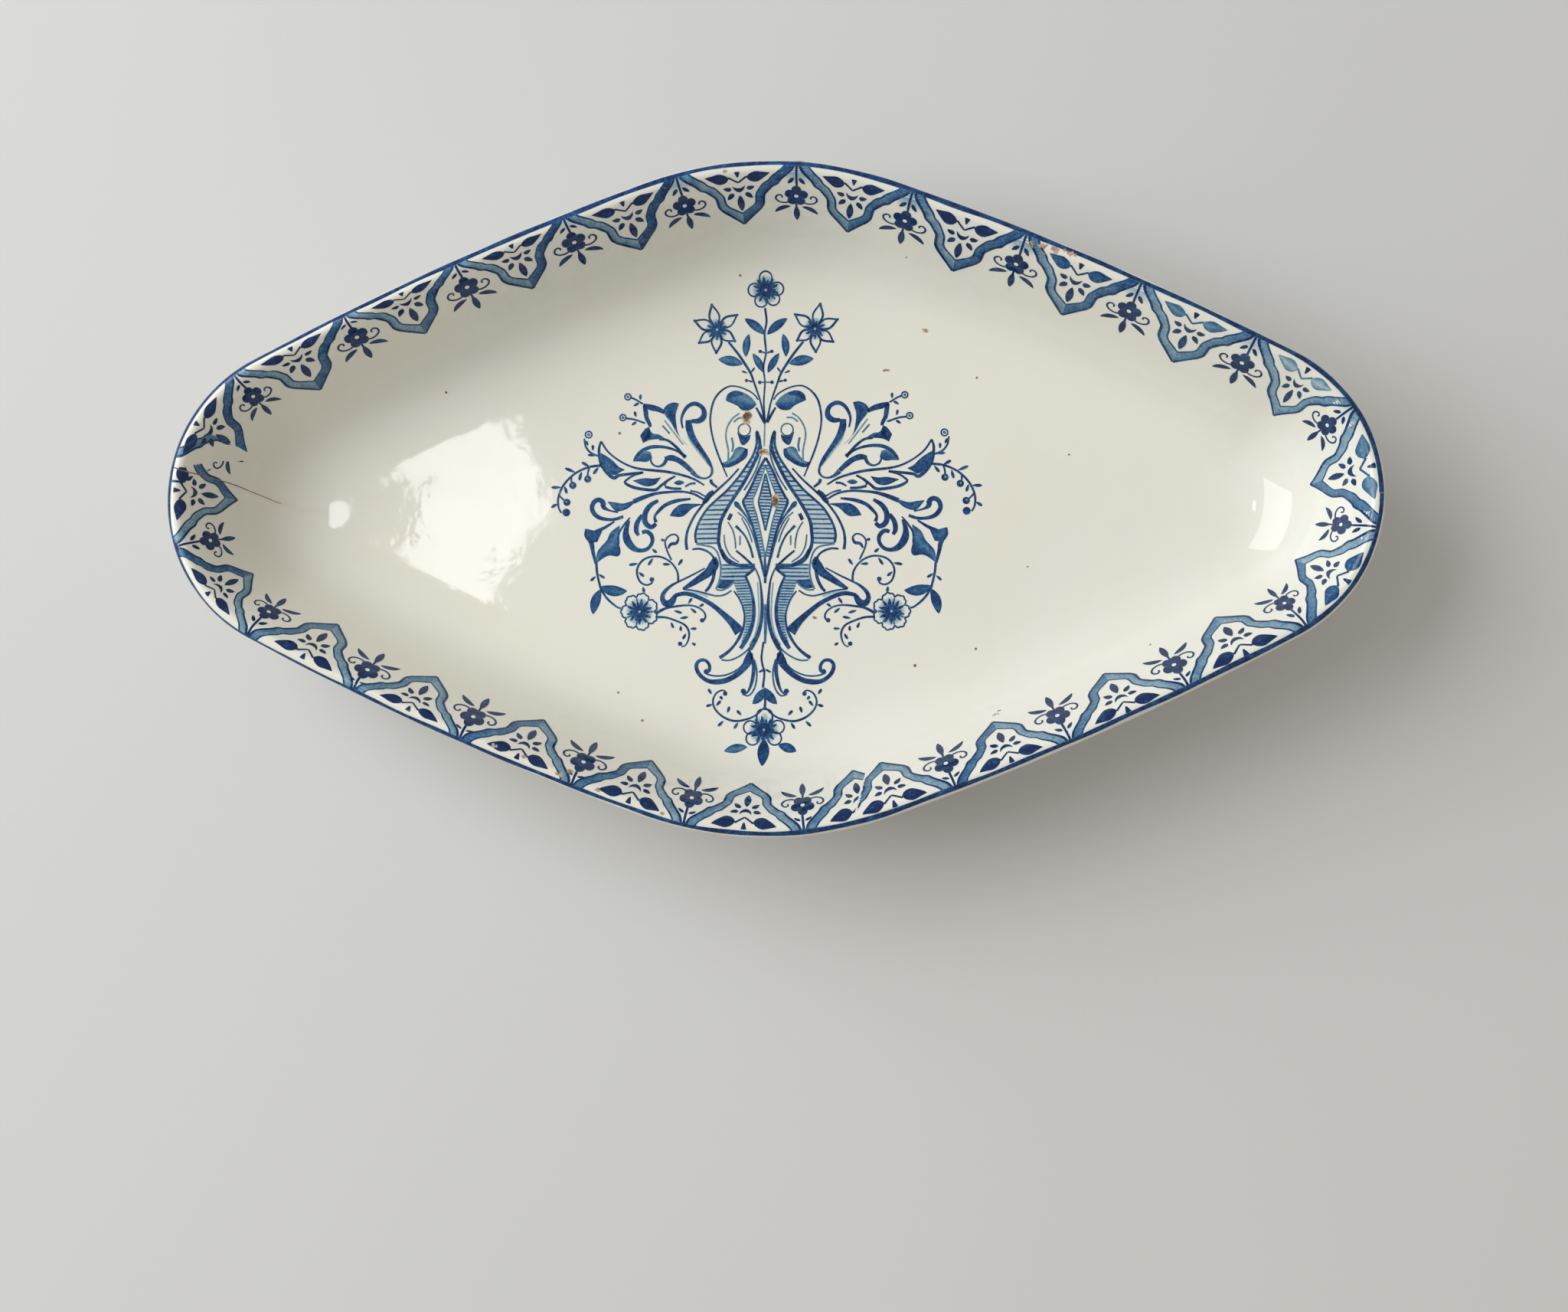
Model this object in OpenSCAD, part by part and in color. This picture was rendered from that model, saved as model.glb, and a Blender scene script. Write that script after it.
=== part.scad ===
// Lozenge-shaped serving dish in white ironstone: one wide flared wall round a flat well,
// a rolled lip, and a low foot ring of the same shape luted on under the floor.
// The origin is on the table, under the middle of the dish. X runs along its length.

/* [Plan] */
// Length over the rim, end to end
dish_l = 240; // [216:1:280]
// Width over the rim, side to side
dish_w = 134; // [124:1:144]
// Radius of each rounded end
end_r = 31.5; // [28:0.5:40]
// Radius of each rounded belly, at the middle of a long side
belly_r = 74; // [60:1:100]
// Radius of the slightly bowed sides between an end and a belly
side_r = 590; // [450:10:900]

/* [Wall and well] */
// Depth of the well below the top of the lip
well_d = 23; // [18:0.5:26]
// How far in from the rim the wall meets the flat of the well, beside the bellies
belly_run = 22; // [18:0.5:26]
// The same, at the two ends, where the wall is a little broader
end_run = 24; // [19:0.5:26]
// Thickness of the wall just under the lip
wall_t = 3.4; // [2.8:0.1:4.5]
// Thickness of the floor
floor_t = 4.4; // [3.5:0.1:6]
// Slope of the wall just inside the lip, in degrees below level
wall_slope = 46; // [35:1:55]

/* [Lip] */
// Thickness of the rolled lip
lip_t = 3.2; // [2.4:0.1:3.4]

/* [Foot ring] */
// Height of the foot ring under the floor
foot_h = 5.6; // [4.6:0.1:8]
// Length over the foot ring
foot_l = 172; // [164:1:182]
// Width over the foot ring
foot_w = 84; // [78:1:88]
// Width of the ring at its root, under the floor
foot_root = 6.4; // [5:0.2:8]
// Width of the ring below the fillet of slip round its root
foot_t = 4.6; // [3.6:0.1:6]
// Width of the flat that bears on the table
bearing_w = 2.4; // [1.6:0.1:3]
// Radius of each rounded end of the foot ring
foot_end_r = 14; // [12:0.5:18]
// Radius of each rounded belly of the foot ring
foot_belly_r = 52; // [44:1:62]

/* [Hidden] */

// Steps along each end, side and belly of a plan, and along the wall's curve
end_steps = 18;
side_steps = 4;
belly_steps = 10;
wall_steps = 14;

// Bearings round the lip's roll, in its own section: from the outer face to the first step
roll_start = 210;
roll_step = 15;

// Heights above the table, from the bottom up
under_z = foot_h;
well_z = under_z + floor_t;
rim_z = well_z + well_d;
lip_r = lip_t / 2;

// How strongly each end of the wall's curve pulls, as shares of the wall's run
upper_pull_share = 0.38;
lower_pull_share = 0.46;

// Plans as [half length, half width, end radius, belly radius, side radius]
rim_plan = [dish_l / 2, dish_w / 2, end_r, belly_r, side_r];
foot_plan = [foot_l / 2, foot_w / 2, foot_end_r, foot_belly_r, side_r];

// Centres of the end and belly arcs in the quarter where x and y are positive
function end_c(p) = [p[0] - p[2], 0];
function belly_c(p) = [0, p[1] - p[3]];

// The side arc runs into both of them in line, so its centre lies at side_r - end_r from
// one centre and at side_r - belly_r from the other, on the far side of the dish
function side_c(p) =
    let (
        gap = belly_c(p) - end_c(p), d = norm(gap), u = gap / d,
        ra = p[4] - p[2], rb = p[4] - p[3],
        along = (d * d + ra * ra - rb * rb) / (2 * d),
        off = sqrt(ra * ra - along * along)
    )
    end_c(p) + along * u + off * [-u[1], u[0]];

// Bearings at which the side arc meets the end arc and the belly arc, in degrees
function end_turn(p) = let (v = end_c(p) - side_c(p)) atan2(v[1], v[0]);
function belly_turn(p) = let (v = belly_c(p) - side_c(p)) atan2(v[1], v[0]);

// One station of a plan: [centre, radius, bearing]. Drawing the outline in by some inset
// keeps the centre and the bearing, and shortens the radius.
function arc_stations(c, r, from, to, steps) =
    [for (i = [0:steps - 1]) [c, r, from + (to - from) * i / steps]];

function quarter_stations(p) =
    let (e = end_turn(p), b = belly_turn(p))
    concat(
        arc_stations(end_c(p), p[2], 0, e, end_steps / 2),
        arc_stations(side_c(p), p[4], e, b, side_steps),
        arc_stations(belly_c(p), p[3], b, 90, belly_steps / 2));

// A quarter turned over gives the next one: the second starts where the first ends
function stations(p) =
    let (
        q = quarter_stations(p), n = len(q), top = [belly_c(p), p[3], 90],
        half = concat(q, [top], [for (i = [n - 1:-1:1]) flip_x(q[i])])
    )
    concat(half, [for (s = half) half_turn(s)]);
function flip_x(s) = [[-s[0][0], s[0][1]], s[1], 180 - s[2]];
function half_turn(s) = [-s[0], s[1], s[2] + 180];

function place(s, inset, z) =
    let (xy = s[0] + (s[1] - inset) * [cos(s[2]), sin(s[2])]) [xy[0], xy[1], z];

// How much of an end a station is: one at the ends, none at the bellies
function end_share(s) = pow(cos(s[2]), 2);

// Faces between neighbouring rings of n points each
function ring_faces(rings, n, closed) =
    [for (k = [0:rings - (closed ? 1 : 2)], i = [0:n - 1])
        let (a = k * n, b = ((k + 1) % rings) * n, j = (i + 1) % n)
        each [[a + i, b + j, a + j], [a + i, b + i, b + j]]];

function bezier(a, b, c, d, t) =
    pow(1 - t, 3) * a + 3 * pow(1 - t, 2) * t * b + 3 * (1 - t) * t * t * c + pow(t, 3) * d;
function bezier_way(a, b, c, d, t) =
    let (v = pow(1 - t, 2) * (b - a) + 2 * (1 - t) * t * (c - b) + t * t * (d - c)) v / norm(v);

// The wall's inner face as four pull points, [inward from the rim, down from the lip]. It
// leaves the roll of the lip in line.
function wall_pulls(run) =
    let (
        start = lip_r * [1 + sin(wall_slope), 1 - cos(wall_slope)],
        end = [run, well_d]
    )
    [start,
     start + upper_pull_share * run * [cos(wall_slope), sin(wall_slope)],
     end - [lower_pull_share * run, 0],
     end];

// The wall's section at a station, from under the floor, out and up the outer face, over
// the lip, and down the inner face to the well. The outer face lies square off the inner
// one, by a thickness that grows towards the floor.
function wall_section(run) =
    let (
        w = wall_pulls(run),
        outer = [for (i = [wall_steps:-1:1])
            let (
                t = i / wall_steps,
                way = bezier_way(w[0], w[1], w[2], w[3], t),
                thick = wall_t + (floor_t - wall_t) * t
            )
            bezier(w[0], w[1], w[2], w[3], t) + thick * [-way[1], way[0]]],
        roll = [for (a = [roll_start:-roll_step:91 - wall_slope])
            lip_r * [1 + cos(a), 1 - sin(a)]],
        inner = [for (i = [0:wall_steps]) bezier(w[0], w[1], w[2], w[3], i / wall_steps)]
    )
    concat(outer, roll, inner);

module dish_body() {
    around = stations(rim_plan);
    n = len(around);
    sections = [for (s = around)
        wall_section(belly_run + (end_run - belly_run) * end_share(s))];
    rings = len(sections[0]);
    points = [for (k = [0:rings - 1], i = [0:n - 1])
        place(around[i], sections[i][k][0], rim_z - sections[i][k][1])];
    floor_under = [for (i = [0:n - 1]) i];
    floor_over = [for (i = [n - 1:-1:0]) (rings - 1) * n + i];
    color("ivory")
        polyhedron(points, concat(ring_faces(rings, n, false), [floor_under, floor_over]));
}

// The ring's section, [inward from its outline, up from the table]: a flat that bears on
// the table, worn edges, leaning sides, and a fillet of slip against the floor
function foot_section() =
    let (
        lean = (foot_root - foot_t) / 2, sole = (foot_root - bearing_w) / 2,
        worn = bearing_w / 4, knee = foot_h - 1.5 * lean
    )
    [[sole, 0], [lean + worn / 2, worn], [lean, foot_h / 2], [lean, knee],
     [lean / 3, foot_h - lean / 3], [0, foot_h],
     [foot_root, foot_h], [foot_root - lean / 3, foot_h - lean / 3],
     [foot_root - lean, knee], [foot_root - lean, foot_h / 2],
     [foot_root - lean - worn / 2, worn], [foot_root - sole, 0]];

module foot_ring() {
    around = stations(foot_plan);
    n = len(around);
    shape = foot_section();
    points = [for (q = shape, s = around) place(s, q[0], q[1])];
    color("antiquewhite") polyhedron(points, ring_faces(len(shape), n, true));
}

dish_body();
foot_ring();
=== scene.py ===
import math

import bpy
import numpy as np
from mathutils import Matrix, Vector


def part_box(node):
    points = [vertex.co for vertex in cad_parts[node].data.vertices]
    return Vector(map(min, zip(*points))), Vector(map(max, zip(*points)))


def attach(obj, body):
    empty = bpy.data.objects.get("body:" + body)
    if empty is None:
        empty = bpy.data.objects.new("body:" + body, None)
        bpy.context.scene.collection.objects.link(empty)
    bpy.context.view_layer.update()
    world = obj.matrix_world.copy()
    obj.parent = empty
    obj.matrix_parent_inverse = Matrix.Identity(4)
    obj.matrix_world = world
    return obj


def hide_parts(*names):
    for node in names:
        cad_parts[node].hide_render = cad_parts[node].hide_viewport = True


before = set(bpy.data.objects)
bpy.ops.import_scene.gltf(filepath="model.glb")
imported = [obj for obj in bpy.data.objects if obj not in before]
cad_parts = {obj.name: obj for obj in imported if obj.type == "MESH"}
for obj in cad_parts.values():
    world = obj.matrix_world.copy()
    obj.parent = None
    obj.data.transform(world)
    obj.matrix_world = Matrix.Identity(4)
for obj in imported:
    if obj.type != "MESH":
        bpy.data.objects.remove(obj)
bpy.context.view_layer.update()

# Everything about the dish is worked out in millimetres and turned to metres in the meshes.
MM = 0.001

# Driving sizes: the overall ones are read from the frame, the rest repeat the dish's design.
body_lo, body_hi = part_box("dish_body")
_, foot_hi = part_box("foot_ring")
HALF_L = body_hi.x / MM
HALF_W = body_hi.y / MM
RIM_TOP = body_hi.z / MM
UNDER_Z = body_lo.z / MM
END_R = 31.5
BELLY_R = 74.0
SIDE_R = 590.0
FLOOR_T = 4.4
WALL_T = 3.4
WELL_D = RIM_TOP - UNDER_Z - FLOOR_T
BELLY_RUN = 22.0
END_RUN = 24.0
LIP_R = 1.6
WALL_SLOPE = math.radians(46)
UPPER_PULL = 0.38
LOWER_PULL = 0.46

FOOT_HALF_L = foot_hi.x / MM
FOOT_HALF_W = foot_hi.y / MM
FOOT_H = foot_hi.z / MM
FOOT_END_R = 14.0
FOOT_BELLY_R = 52.0
FOOT_ROOT = 6.4
FOOT_T = 4.6
BEARING_W = 2.4


class Plan:
    """A rounded lozenge of tangent arcs. A quarter has three: an end, a bowed side and a belly."""

    def __init__(self, half_l, half_w, end_r, belly_r):
        end_c, belly_c = np.array([half_l - end_r, 0.0]), np.array([0.0, half_w - belly_r])
        d = np.hypot(*(belly_c - end_c))
        ux, uy = (belly_c - end_c) / d
        ra, rb = SIDE_R - end_r, SIDE_R - belly_r
        along = (d * d + ra * ra - rb * rb) / (2 * d)
        off = math.sqrt(ra * ra - along * along)
        side_c = end_c + [along * ux - off * uy, along * uy + off * ux]
        self.centres = np.array([end_c, side_c, belly_c])
        self.radii = np.array([end_r, SIDE_R, belly_r])
        meets = [math.atan2(*(c - side_c)[::-1]) for c in (end_c, belly_c)]
        self.turns = np.array([0, *meets, math.pi / 2])
        self.starts = np.r_[0, np.cumsum(self.radii * np.diff(self.turns))]
        self.quarter = self.starts[-1]
        self.round = 4 * self.quarter

    def station(self, u):
        """Centre x and y, radius and bearing at distance u along the rim, from +X towards +Y."""
        k, s = np.divmod(u, self.quarter)
        k = k % 4
        s = np.where(k % 2 == 1, self.quarter - s, s)
        arc = np.clip(np.searchsorted(self.starts, s, "right") - 1, 0, 2)
        radius = self.radii[arc]
        bearing = self.turns[arc] + (s - self.starts[arc]) / radius
        cx, cy = self.centres[arc].T
        left, low = (k == 1) | (k == 2), k >= 2
        cx, bearing = np.where(left, -cx, cx), np.where(left, math.pi - bearing, bearing)
        cy, bearing = np.where(low, -cy, cy), np.where(low, -bearing, bearing)
        return cx, cy, radius, bearing

    def inset(self, x, y):
        """How far inside the outline a point lies, and the bearing of the nearest rim."""
        x, y = np.abs(x), np.abs(y)
        bearings = [np.arctan2(y - cy, x - cx) for cx, cy in self.centres]
        end = (bearings[0] < self.turns[1]) & (x > self.centres[0, 0])
        arc = np.where(end, 0, np.where(bearings[2] > self.turns[2], 2, 1))
        cx, cy = self.centres[arc].T
        return self.radii[arc] - np.hypot(x - cx, y - cy), np.choose(arc, bearings)


# The glaze is drawn in by a hair, so that the print on it stays inside the frame's box
HAIR = 0.05
RIM = Plan(HALF_L - HAIR, HALF_W - HAIR, END_R - HAIR, BELLY_R - HAIR)
RIM_Z = RIM_TOP - HAIR
FOOT = Plan(FOOT_HALF_L, FOOT_HALF_W, FOOT_END_R, FOOT_BELLY_R)

WALL_STEPS = 64
LIP_FROM = math.radians(210)


def drawn_in(station, inset):
    cx, cy, radius, bearing = station
    return cx + (radius - inset) * np.cos(bearing), cy + (radius - inset) * np.sin(bearing)


def end_share(bearing):
    return np.cos(bearing) ** 2


def blend(a, b, share):
    return a * (1 - share) + b * share


def wall_curve(run):
    """The wall's inner curve as [inward from the rim, down from the lip], and its directions."""
    start = LIP_R * np.array([1 + math.sin(WALL_SLOPE), 1 - math.cos(WALL_SLOPE)])
    end = np.array([run, WELL_D])
    way = np.array([math.cos(WALL_SLOPE), math.sin(WALL_SLOPE)])
    a, b = start + UPPER_PULL * run * way, end - [LOWER_PULL * run, 0]
    t = np.linspace(0, 1, WALL_STEPS + 1)[:, None]
    pts = (1 - t) ** 3 * start + 3 * (1 - t) ** 2 * t * a + 3 * (1 - t) * t * t * b + t ** 3 * end
    ways = (1 - t) ** 2 * (a - start) + 2 * (1 - t) * t * (b - a) + t * t * (end - b)
    return pts, ways / np.linalg.norm(ways, axis=1)[:, None], t


def lip_roll(steps):
    a = np.linspace(LIP_FROM, math.pi / 2 - WALL_SLOPE, steps)
    return LIP_R * np.c_[1 + np.cos(a), 1 - np.sin(a)]


# The inner face measured by v, the distance down it from the top of the lip. v is negative
# over the lip's outer shoulder.
V_STEP = 0.1
V_MIN, V_MAX = -3.4, 60.0
V_GRID = np.arange(V_MIN, V_MAX, V_STEP)
ROLL_STEPS = 90

# The curve that the wall keeps is softened where it runs out into the well: how far the
# softening reaches, and how far down the face it begins and is full
SOFT = 5.0
SOFT_FROM, SOFT_FULL = 11.0, 24.0


def inner_table(run):
    flat = [[run + V_MAX, WELL_D]]
    pts = np.vstack([lip_roll(ROLL_STEPS)[:-1], wall_curve(run)[0], flat])
    s = run_along(pts) - LIP_R * (LIP_FROM - math.pi / 2)
    inward, down = [np.interp(V_GRID, s, column) for column in pts.T]
    reach = np.arange(-3 * SOFT, 3 * SOFT + V_STEP, V_STEP)
    bell = np.exp(-0.5 * (reach / SOFT) ** 2)
    padded = np.pad(down, len(reach) // 2, mode="edge")
    soft = np.convolve(padded, bell / bell.sum(), "same")[len(reach) // 2:][:len(down)]
    share = np.clip((V_GRID - SOFT_FROM) / (SOFT_FULL - SOFT_FROM), 0, 1)
    return inward, blend(down, soft, share * share * (3 - 2 * share))


def run_along(line):
    return np.r_[0, np.cumsum(np.hypot(*np.diff(line[:, :2], axis=0).T))]


TABLES = [inner_table(run) for run in (BELLY_RUN, END_RUN)]

# The potter's unevenness: the well and wall sink a little here and there, the lip never
UNEVEN = 0.05
UNEVEN_WAVES = ((61.0, 0.4, 0.3), (37.0, 2.1, 1.9), (43.0, -1.2, 4.0))
LIP_ZONE = 7.0


def sunk(x, y):
    total = 0
    for wave, turn, start in UNEVEN_WAVES:
        along = x * math.cos(turn) + y * math.sin(turn)
        total = total + np.sin(2 * math.pi * along / wave + start)
    away = np.clip(RIM.inset(x, y)[0] / LIP_ZONE, 0, 1) ** 2
    return UNEVEN * away * (total / len(UNEVEN_WAVES) * 0.5 + 0.5)


def wall_place(u, v):
    """The point on the inner face at u along the rim and v down the wall."""
    station = RIM.station(u)
    inset, down = [blend(np.interp(v, V_GRID, belly), np.interp(v, V_GRID, end), end_share(station[-1]))
                   for belly, end in zip(*TABLES)]
    x, y = drawn_in(station, inset)
    return np.stack([x, y, RIM_Z - down - sunk(x, y)], -1)


def well_place(x, y):
    """The point on the inner face straight under x and y."""
    inset, bearing = RIM.inset(x, y)
    down = blend(*[np.interp(inset, *table) for table in TABLES], end_share(bearing))
    return np.stack([x, y, RIM_Z - down - sunk(x, y)], -1)


def lifted(place, a, b, height, step=0.05):
    """Points of a surface, moved off it along its normal."""
    p = place(a, b)
    n = np.cross(place(a + step, b) - place(a - step, b), place(a, b + step) - place(a, b - step))
    n /= np.linalg.norm(n, axis=-1)[..., None] + 1e-12
    n *= np.where(n[..., 2] < 0, -1, 1)[..., None]
    return p + n * height[..., None]


def new_piece(name, points, faces, material):
    mesh = bpy.data.meshes.new(name)
    mesh.from_pydata((np.asarray(points) * MM).tolist(), [], faces)
    mesh.validate()
    mesh.polygons.foreach_set("use_smooth", [True] * len(mesh.polygons))
    mesh.materials.append(material)
    piece = bpy.data.objects.new(name, mesh)
    bpy.context.scene.collection.objects.link(piece)
    return piece


def ring_faces(rings, n, closed=False):
    k = np.arange(rings if closed else rings - 1)[:, None] * n
    i = np.arange(n)[None, :]
    j = (i + 1) % n
    up = (k + n) % (rings * n)
    return np.stack([k + i, up + i, up + j, k + j], -1).reshape(-1, 4).tolist()


def is_socket(value):
    return isinstance(value, bpy.types.NodeSocket)


# Materials. Every material of the glaze reads the same noise in the same frame, so the print
# and the stains melt into the glaze round them.
class Nodes:
    """Short names for building a material's nodes."""

    def __init__(self, name):
        self.material = bpy.data.materials.new(name)
        self.material.use_nodes = True
        self.tree = self.material.node_tree
        self.shader = self.tree.nodes["Principled BSDF"]
        self.coords = self.add("ShaderNodeTexCoord").outputs["Object"]

    def feed(self, node, inputs):
        for key, value in inputs.items():
            if is_socket(value):
                self.tree.links.new(value, node.inputs[key])
            else:
                node.inputs[key].default_value = value

    def add(self, kind, inputs=None, **values):
        node = self.tree.nodes.new(kind)
        for key, value in values.items():
            setattr(node, key, value)
        self.feed(node, inputs or {})
        return node

    def noise(self, scale, detail=2.0, rough=0.5):
        inputs = {"Vector": self.coords, "Scale": scale, "Detail": detail, "Roughness": rough}
        return self.add("ShaderNodeTexNoise", inputs).outputs["Fac"]

    def math(self, operation, a, b, clamp=False):
        return self.add("ShaderNodeMath", {0: a, 1: b}, operation=operation, use_clamp=clamp).outputs[0]

    def ramp(self, value, low, high, to_low=0.0, to_high=1.0):
        inputs = {"Value": value, "From Min": low, "From Max": high, "To Min": to_low, "To Max": to_high}
        return self.add("ShaderNodeMapRange", inputs).outputs["Result"]

    def mix(self, factor, a, b):
        a, b = [value if is_socket(value) else (*value, 1.0) for value in (a, b)]
        return self.add("ShaderNodeMix", {"Factor": factor, 6: a, 7: b}, data_type="RGBA").outputs[2]

    def colours(self, value, stops):
        node = self.add("ShaderNodeValToRGB", {"Fac": value})
        for place, colour in stops[1:-1]:
            node.color_ramp.elements.new(place)
        for element, (place, colour) in zip(node.color_ramp.elements, stops):
            element.position = place
            element.color = (*colour, 1.0)
        return node.outputs["Color"]

    def ink(self):
        """How dense the ink is, from the attribute that the pen leaves."""
        return self.add("ShaderNodeAttribute", attribute_name="ink").outputs["Fac"]

    def height(self):
        return self.add("ShaderNodeSeparateXYZ", {0: self.coords}).outputs["Z"]

    def bump(self, height, strength, distance, **under):
        inputs = {"Height": height, "Strength": strength, "Distance": distance, **under}
        return self.add("ShaderNodeBump", inputs).outputs["Normal"]


CREAM = (0.800, 0.790, 0.712)
CREAM_WARM = (0.775, 0.745, 0.645)
CREAM_COOL = (0.780, 0.785, 0.728)
SPECK = (0.16, 0.12, 0.08)
CLAY, CLAY_STAINED = (0.58, 0.50, 0.38), (0.36, 0.27, 0.18)

# Colours from no ink to full ink
COBALT = [(0.0, CREAM), (0.25, (0.33, 0.46, 0.53)), (0.50, (0.095, 0.220, 0.345)),
          (0.74, (0.016, 0.092, 0.240)), (0.88, (0.006, 0.050, 0.172)), (1.0, (0.002, 0.019, 0.092))]
RUST = [(0.0, CREAM), (0.35, (0.58, 0.43, 0.31)), (0.65, (0.33, 0.18, 0.115)),
        (0.85, (0.18, 0.085, 0.05)), (1.0, (0.085, 0.055, 0.040))]


def glaze_colour(n):
    """Old ivory glaze: slow drifts of tone, faint stains from the clay, and a few iron specks."""
    drift = n.mix(n.ramp(n.noise(14, 3), 0.35, 0.65), CREAM, CREAM_COOL)
    stained = n.mix(n.ramp(n.noise(33, 4, 0.6), 0.52, 0.78, 0.0, 0.55), drift, CREAM_WARM)
    cells = n.add("ShaderNodeTexVoronoi", {"Vector": n.coords, "Scale": 85})
    near = n.ramp(cells.outputs["Distance"], 0.012, 0.028, 1.0, 0.0)
    few = n.ramp(n.noise(21, 1), 0.56, 0.60)
    return n.mix(n.math("MULTIPLY", near, few), stained, SPECK)


def glazed(n, colour):
    """A hard, clear gloss over slow ripples, a little duller here and there."""
    rough = n.ramp(n.noise(60, 5, 0.65), 0.35, 0.75, 0.035, 0.075)
    ripple = n.bump(n.noise(120, 3), 0.30, 0.00016)
    peel = n.bump(n.noise(700, 2), 0.12, 0.00003, Normal=ripple)
    n.feed(n.shader, {"Base Color": colour, "IOR": 1.43, "Roughness": rough, "Normal": peel})
    return n.material


def glaze_material():
    n = Nodes("ironstone_glaze")
    return glazed(n, glaze_colour(n))


def print_material():
    """Transfer print under the glaze. Where the ink is thin, the glaze shows."""
    n = Nodes("transfer_print")
    grain = n.ramp(n.noise(1600, 3, 0.6), 0.3, 0.7, 0.80, 1.14)
    patch = n.ramp(n.noise(420, 4, 0.6), 0.32, 0.62, 0.84, 1.08)
    ink = n.ink()
    dense = n.math("MULTIPLY", n.math("MULTIPLY", ink, grain), patch, clamp=True)
    return glazed(n, n.mix(n.ramp(ink, 0.0, 0.20), glaze_colour(n), n.colours(dense, COBALT)))


def stain_material():
    """Rust and tea stains where the glaze has chipped or crazed."""
    n = Nodes("rust_stain")
    broken = n.ramp(n.noise(900, 3, 0.7), 0.38, 0.62, 0.62, 1.0)
    dense = n.math("MULTIPLY", n.ink(), broken, clamp=True)
    return glazed(n, n.mix(n.ramp(dense, 0.0, 0.3), glaze_colour(n), n.colours(dense, RUST)))


def foot_material():
    """Glazed sides, and a bearing edge rubbed back to the stained clay."""
    n = Nodes("foot_glaze")
    worn = n.math("ADD", n.height(), n.ramp(n.noise(260, 3), 0.3, 0.7, -0.0004, 0.0004))
    bare = n.ramp(worn, 0.0005, 0.0010, 1.0, 0.0)
    clay = n.mix(n.noise(900, 4, 0.7), CLAY, CLAY_STAINED)
    n.feed(n.shader, {"Base Color": n.mix(bare, glaze_colour(n), clay), "IOR": 1.52,
                      "Roughness": n.ramp(bare, 0.0, 1.0, 0.14, 0.85),
                      "Normal": n.bump(n.noise(800, 4), 0.3, 0.0001)})
    return n.material


PRINT = print_material()
STAIN = stain_material()

STATIONS = 480
FLOOR_RINGS = 26
# How far down the inner face each ring of the mesh lies: close together over the lip
FACE_DOWN = np.r_[np.linspace(-3.3, 2.2, 26), np.linspace(2.6, 36.0, 68)]


def outer_face(run):
    """The wall's outer curve, from under the floor upwards, square off the inner one."""
    wall, ways, t = wall_curve(run)
    return (wall + blend(WALL_T, FLOOR_T, t) * np.c_[-ways[:, 1], ways[:, 0]])[:0:-1]


def dish_mesh():
    """The dish from the middle of its underside, out, over the lip, and in to the well."""
    u = np.arange(STATIONS) * RIM.round / STATIONS
    station = RIM.station(u)
    share = end_share(station[-1])
    outside = []
    for belly, end in zip(outer_face(BELLY_RUN), outer_face(END_RUN)):
        inset, down = blend(belly[0], end[0], share), blend(belly[1], end[1], share)
        outside.append(np.stack([*drawn_in(station, inset), RIM_Z - down], -1))
    inside = [wall_place(u, v) for v in FACE_DOWN]
    shrink = np.linspace(1, 0, FLOOR_RINGS + 1)[1:-1]
    under = [outside[0] * [s, s, 1] for s in shrink[::-1]]
    over = [well_place(*(inside[-1][:, :2] * s).T) for s in shrink]
    rings = under + outside + inside + over
    points = np.vstack(rings + [[[0, 0, UNDER_Z]], well_place(np.zeros(1), np.zeros(1))])
    faces = ring_faces(len(rings), STATIONS)
    middle = len(rings) * STATIONS
    last = middle - STATIONS
    for i in range(STATIONS):
        j = (i + 1) % STATIONS
        faces += [[middle, i, j], [last + i, middle + 1, last + j]]
    return points, faces


def foot_mesh():
    lean, sole, worn = (FOOT_ROOT - FOOT_T) / 2, (FOOT_ROOT - BEARING_W) / 2, BEARING_W / 4
    side = [(sole, 0.0), (sole - 0.4 * worn, 0.1 * worn), (lean + 0.8 * worn, 0.45 * worn),
            (lean + 0.25 * worn, 1.1 * worn), (lean, FOOT_H / 2), (lean, FOOT_H - 1.7 * lean),
            (0.8 * lean, FOOT_H - 0.9 * lean), (0.4 * lean, FOOT_H - 0.3 * lean), (0.0, FOOT_H)]
    shape = side + [(FOOT_ROOT - a, z) for a, z in side[::-1]]
    station = FOOT.station(np.arange(STATIONS) * FOOT.round / STATIONS)
    rings = [np.stack([*drawn_in(station, a), np.full(STATIONS, z)], -1) for a, z in shape]
    return np.vstack(rings), ring_faces(len(shape), STATIONS, closed=True)


dish = new_piece("dish", *dish_mesh(), glaze_material())
foot = new_piece("foot", *foot_mesh(), foot_material())

# Drawing. A pen draws flat shapes and lays them on the glaze when it is done.
FEATHER = 0.04
EDGE_INK = 0.5
STEP = 0.4
# Widest face across a drawn line or shape, so that it follows the roll of the lip
ACROSS = 0.32
# The ink spreads a little as the paper is pressed down
SPREAD = 1.16
LEAST_WIDTH = 0.14
MOST_INK = 1.25
# How far off the glaze the print lies, and how much further each layer of it
PRINT_LIFT = 0.018
LAYER_LIFT = 0.010


def resample(line, n):
    s = run_along(line)
    t = np.linspace(0, s[-1], n)
    return np.stack([np.interp(t, s, column) for column in line.T], 1)


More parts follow.
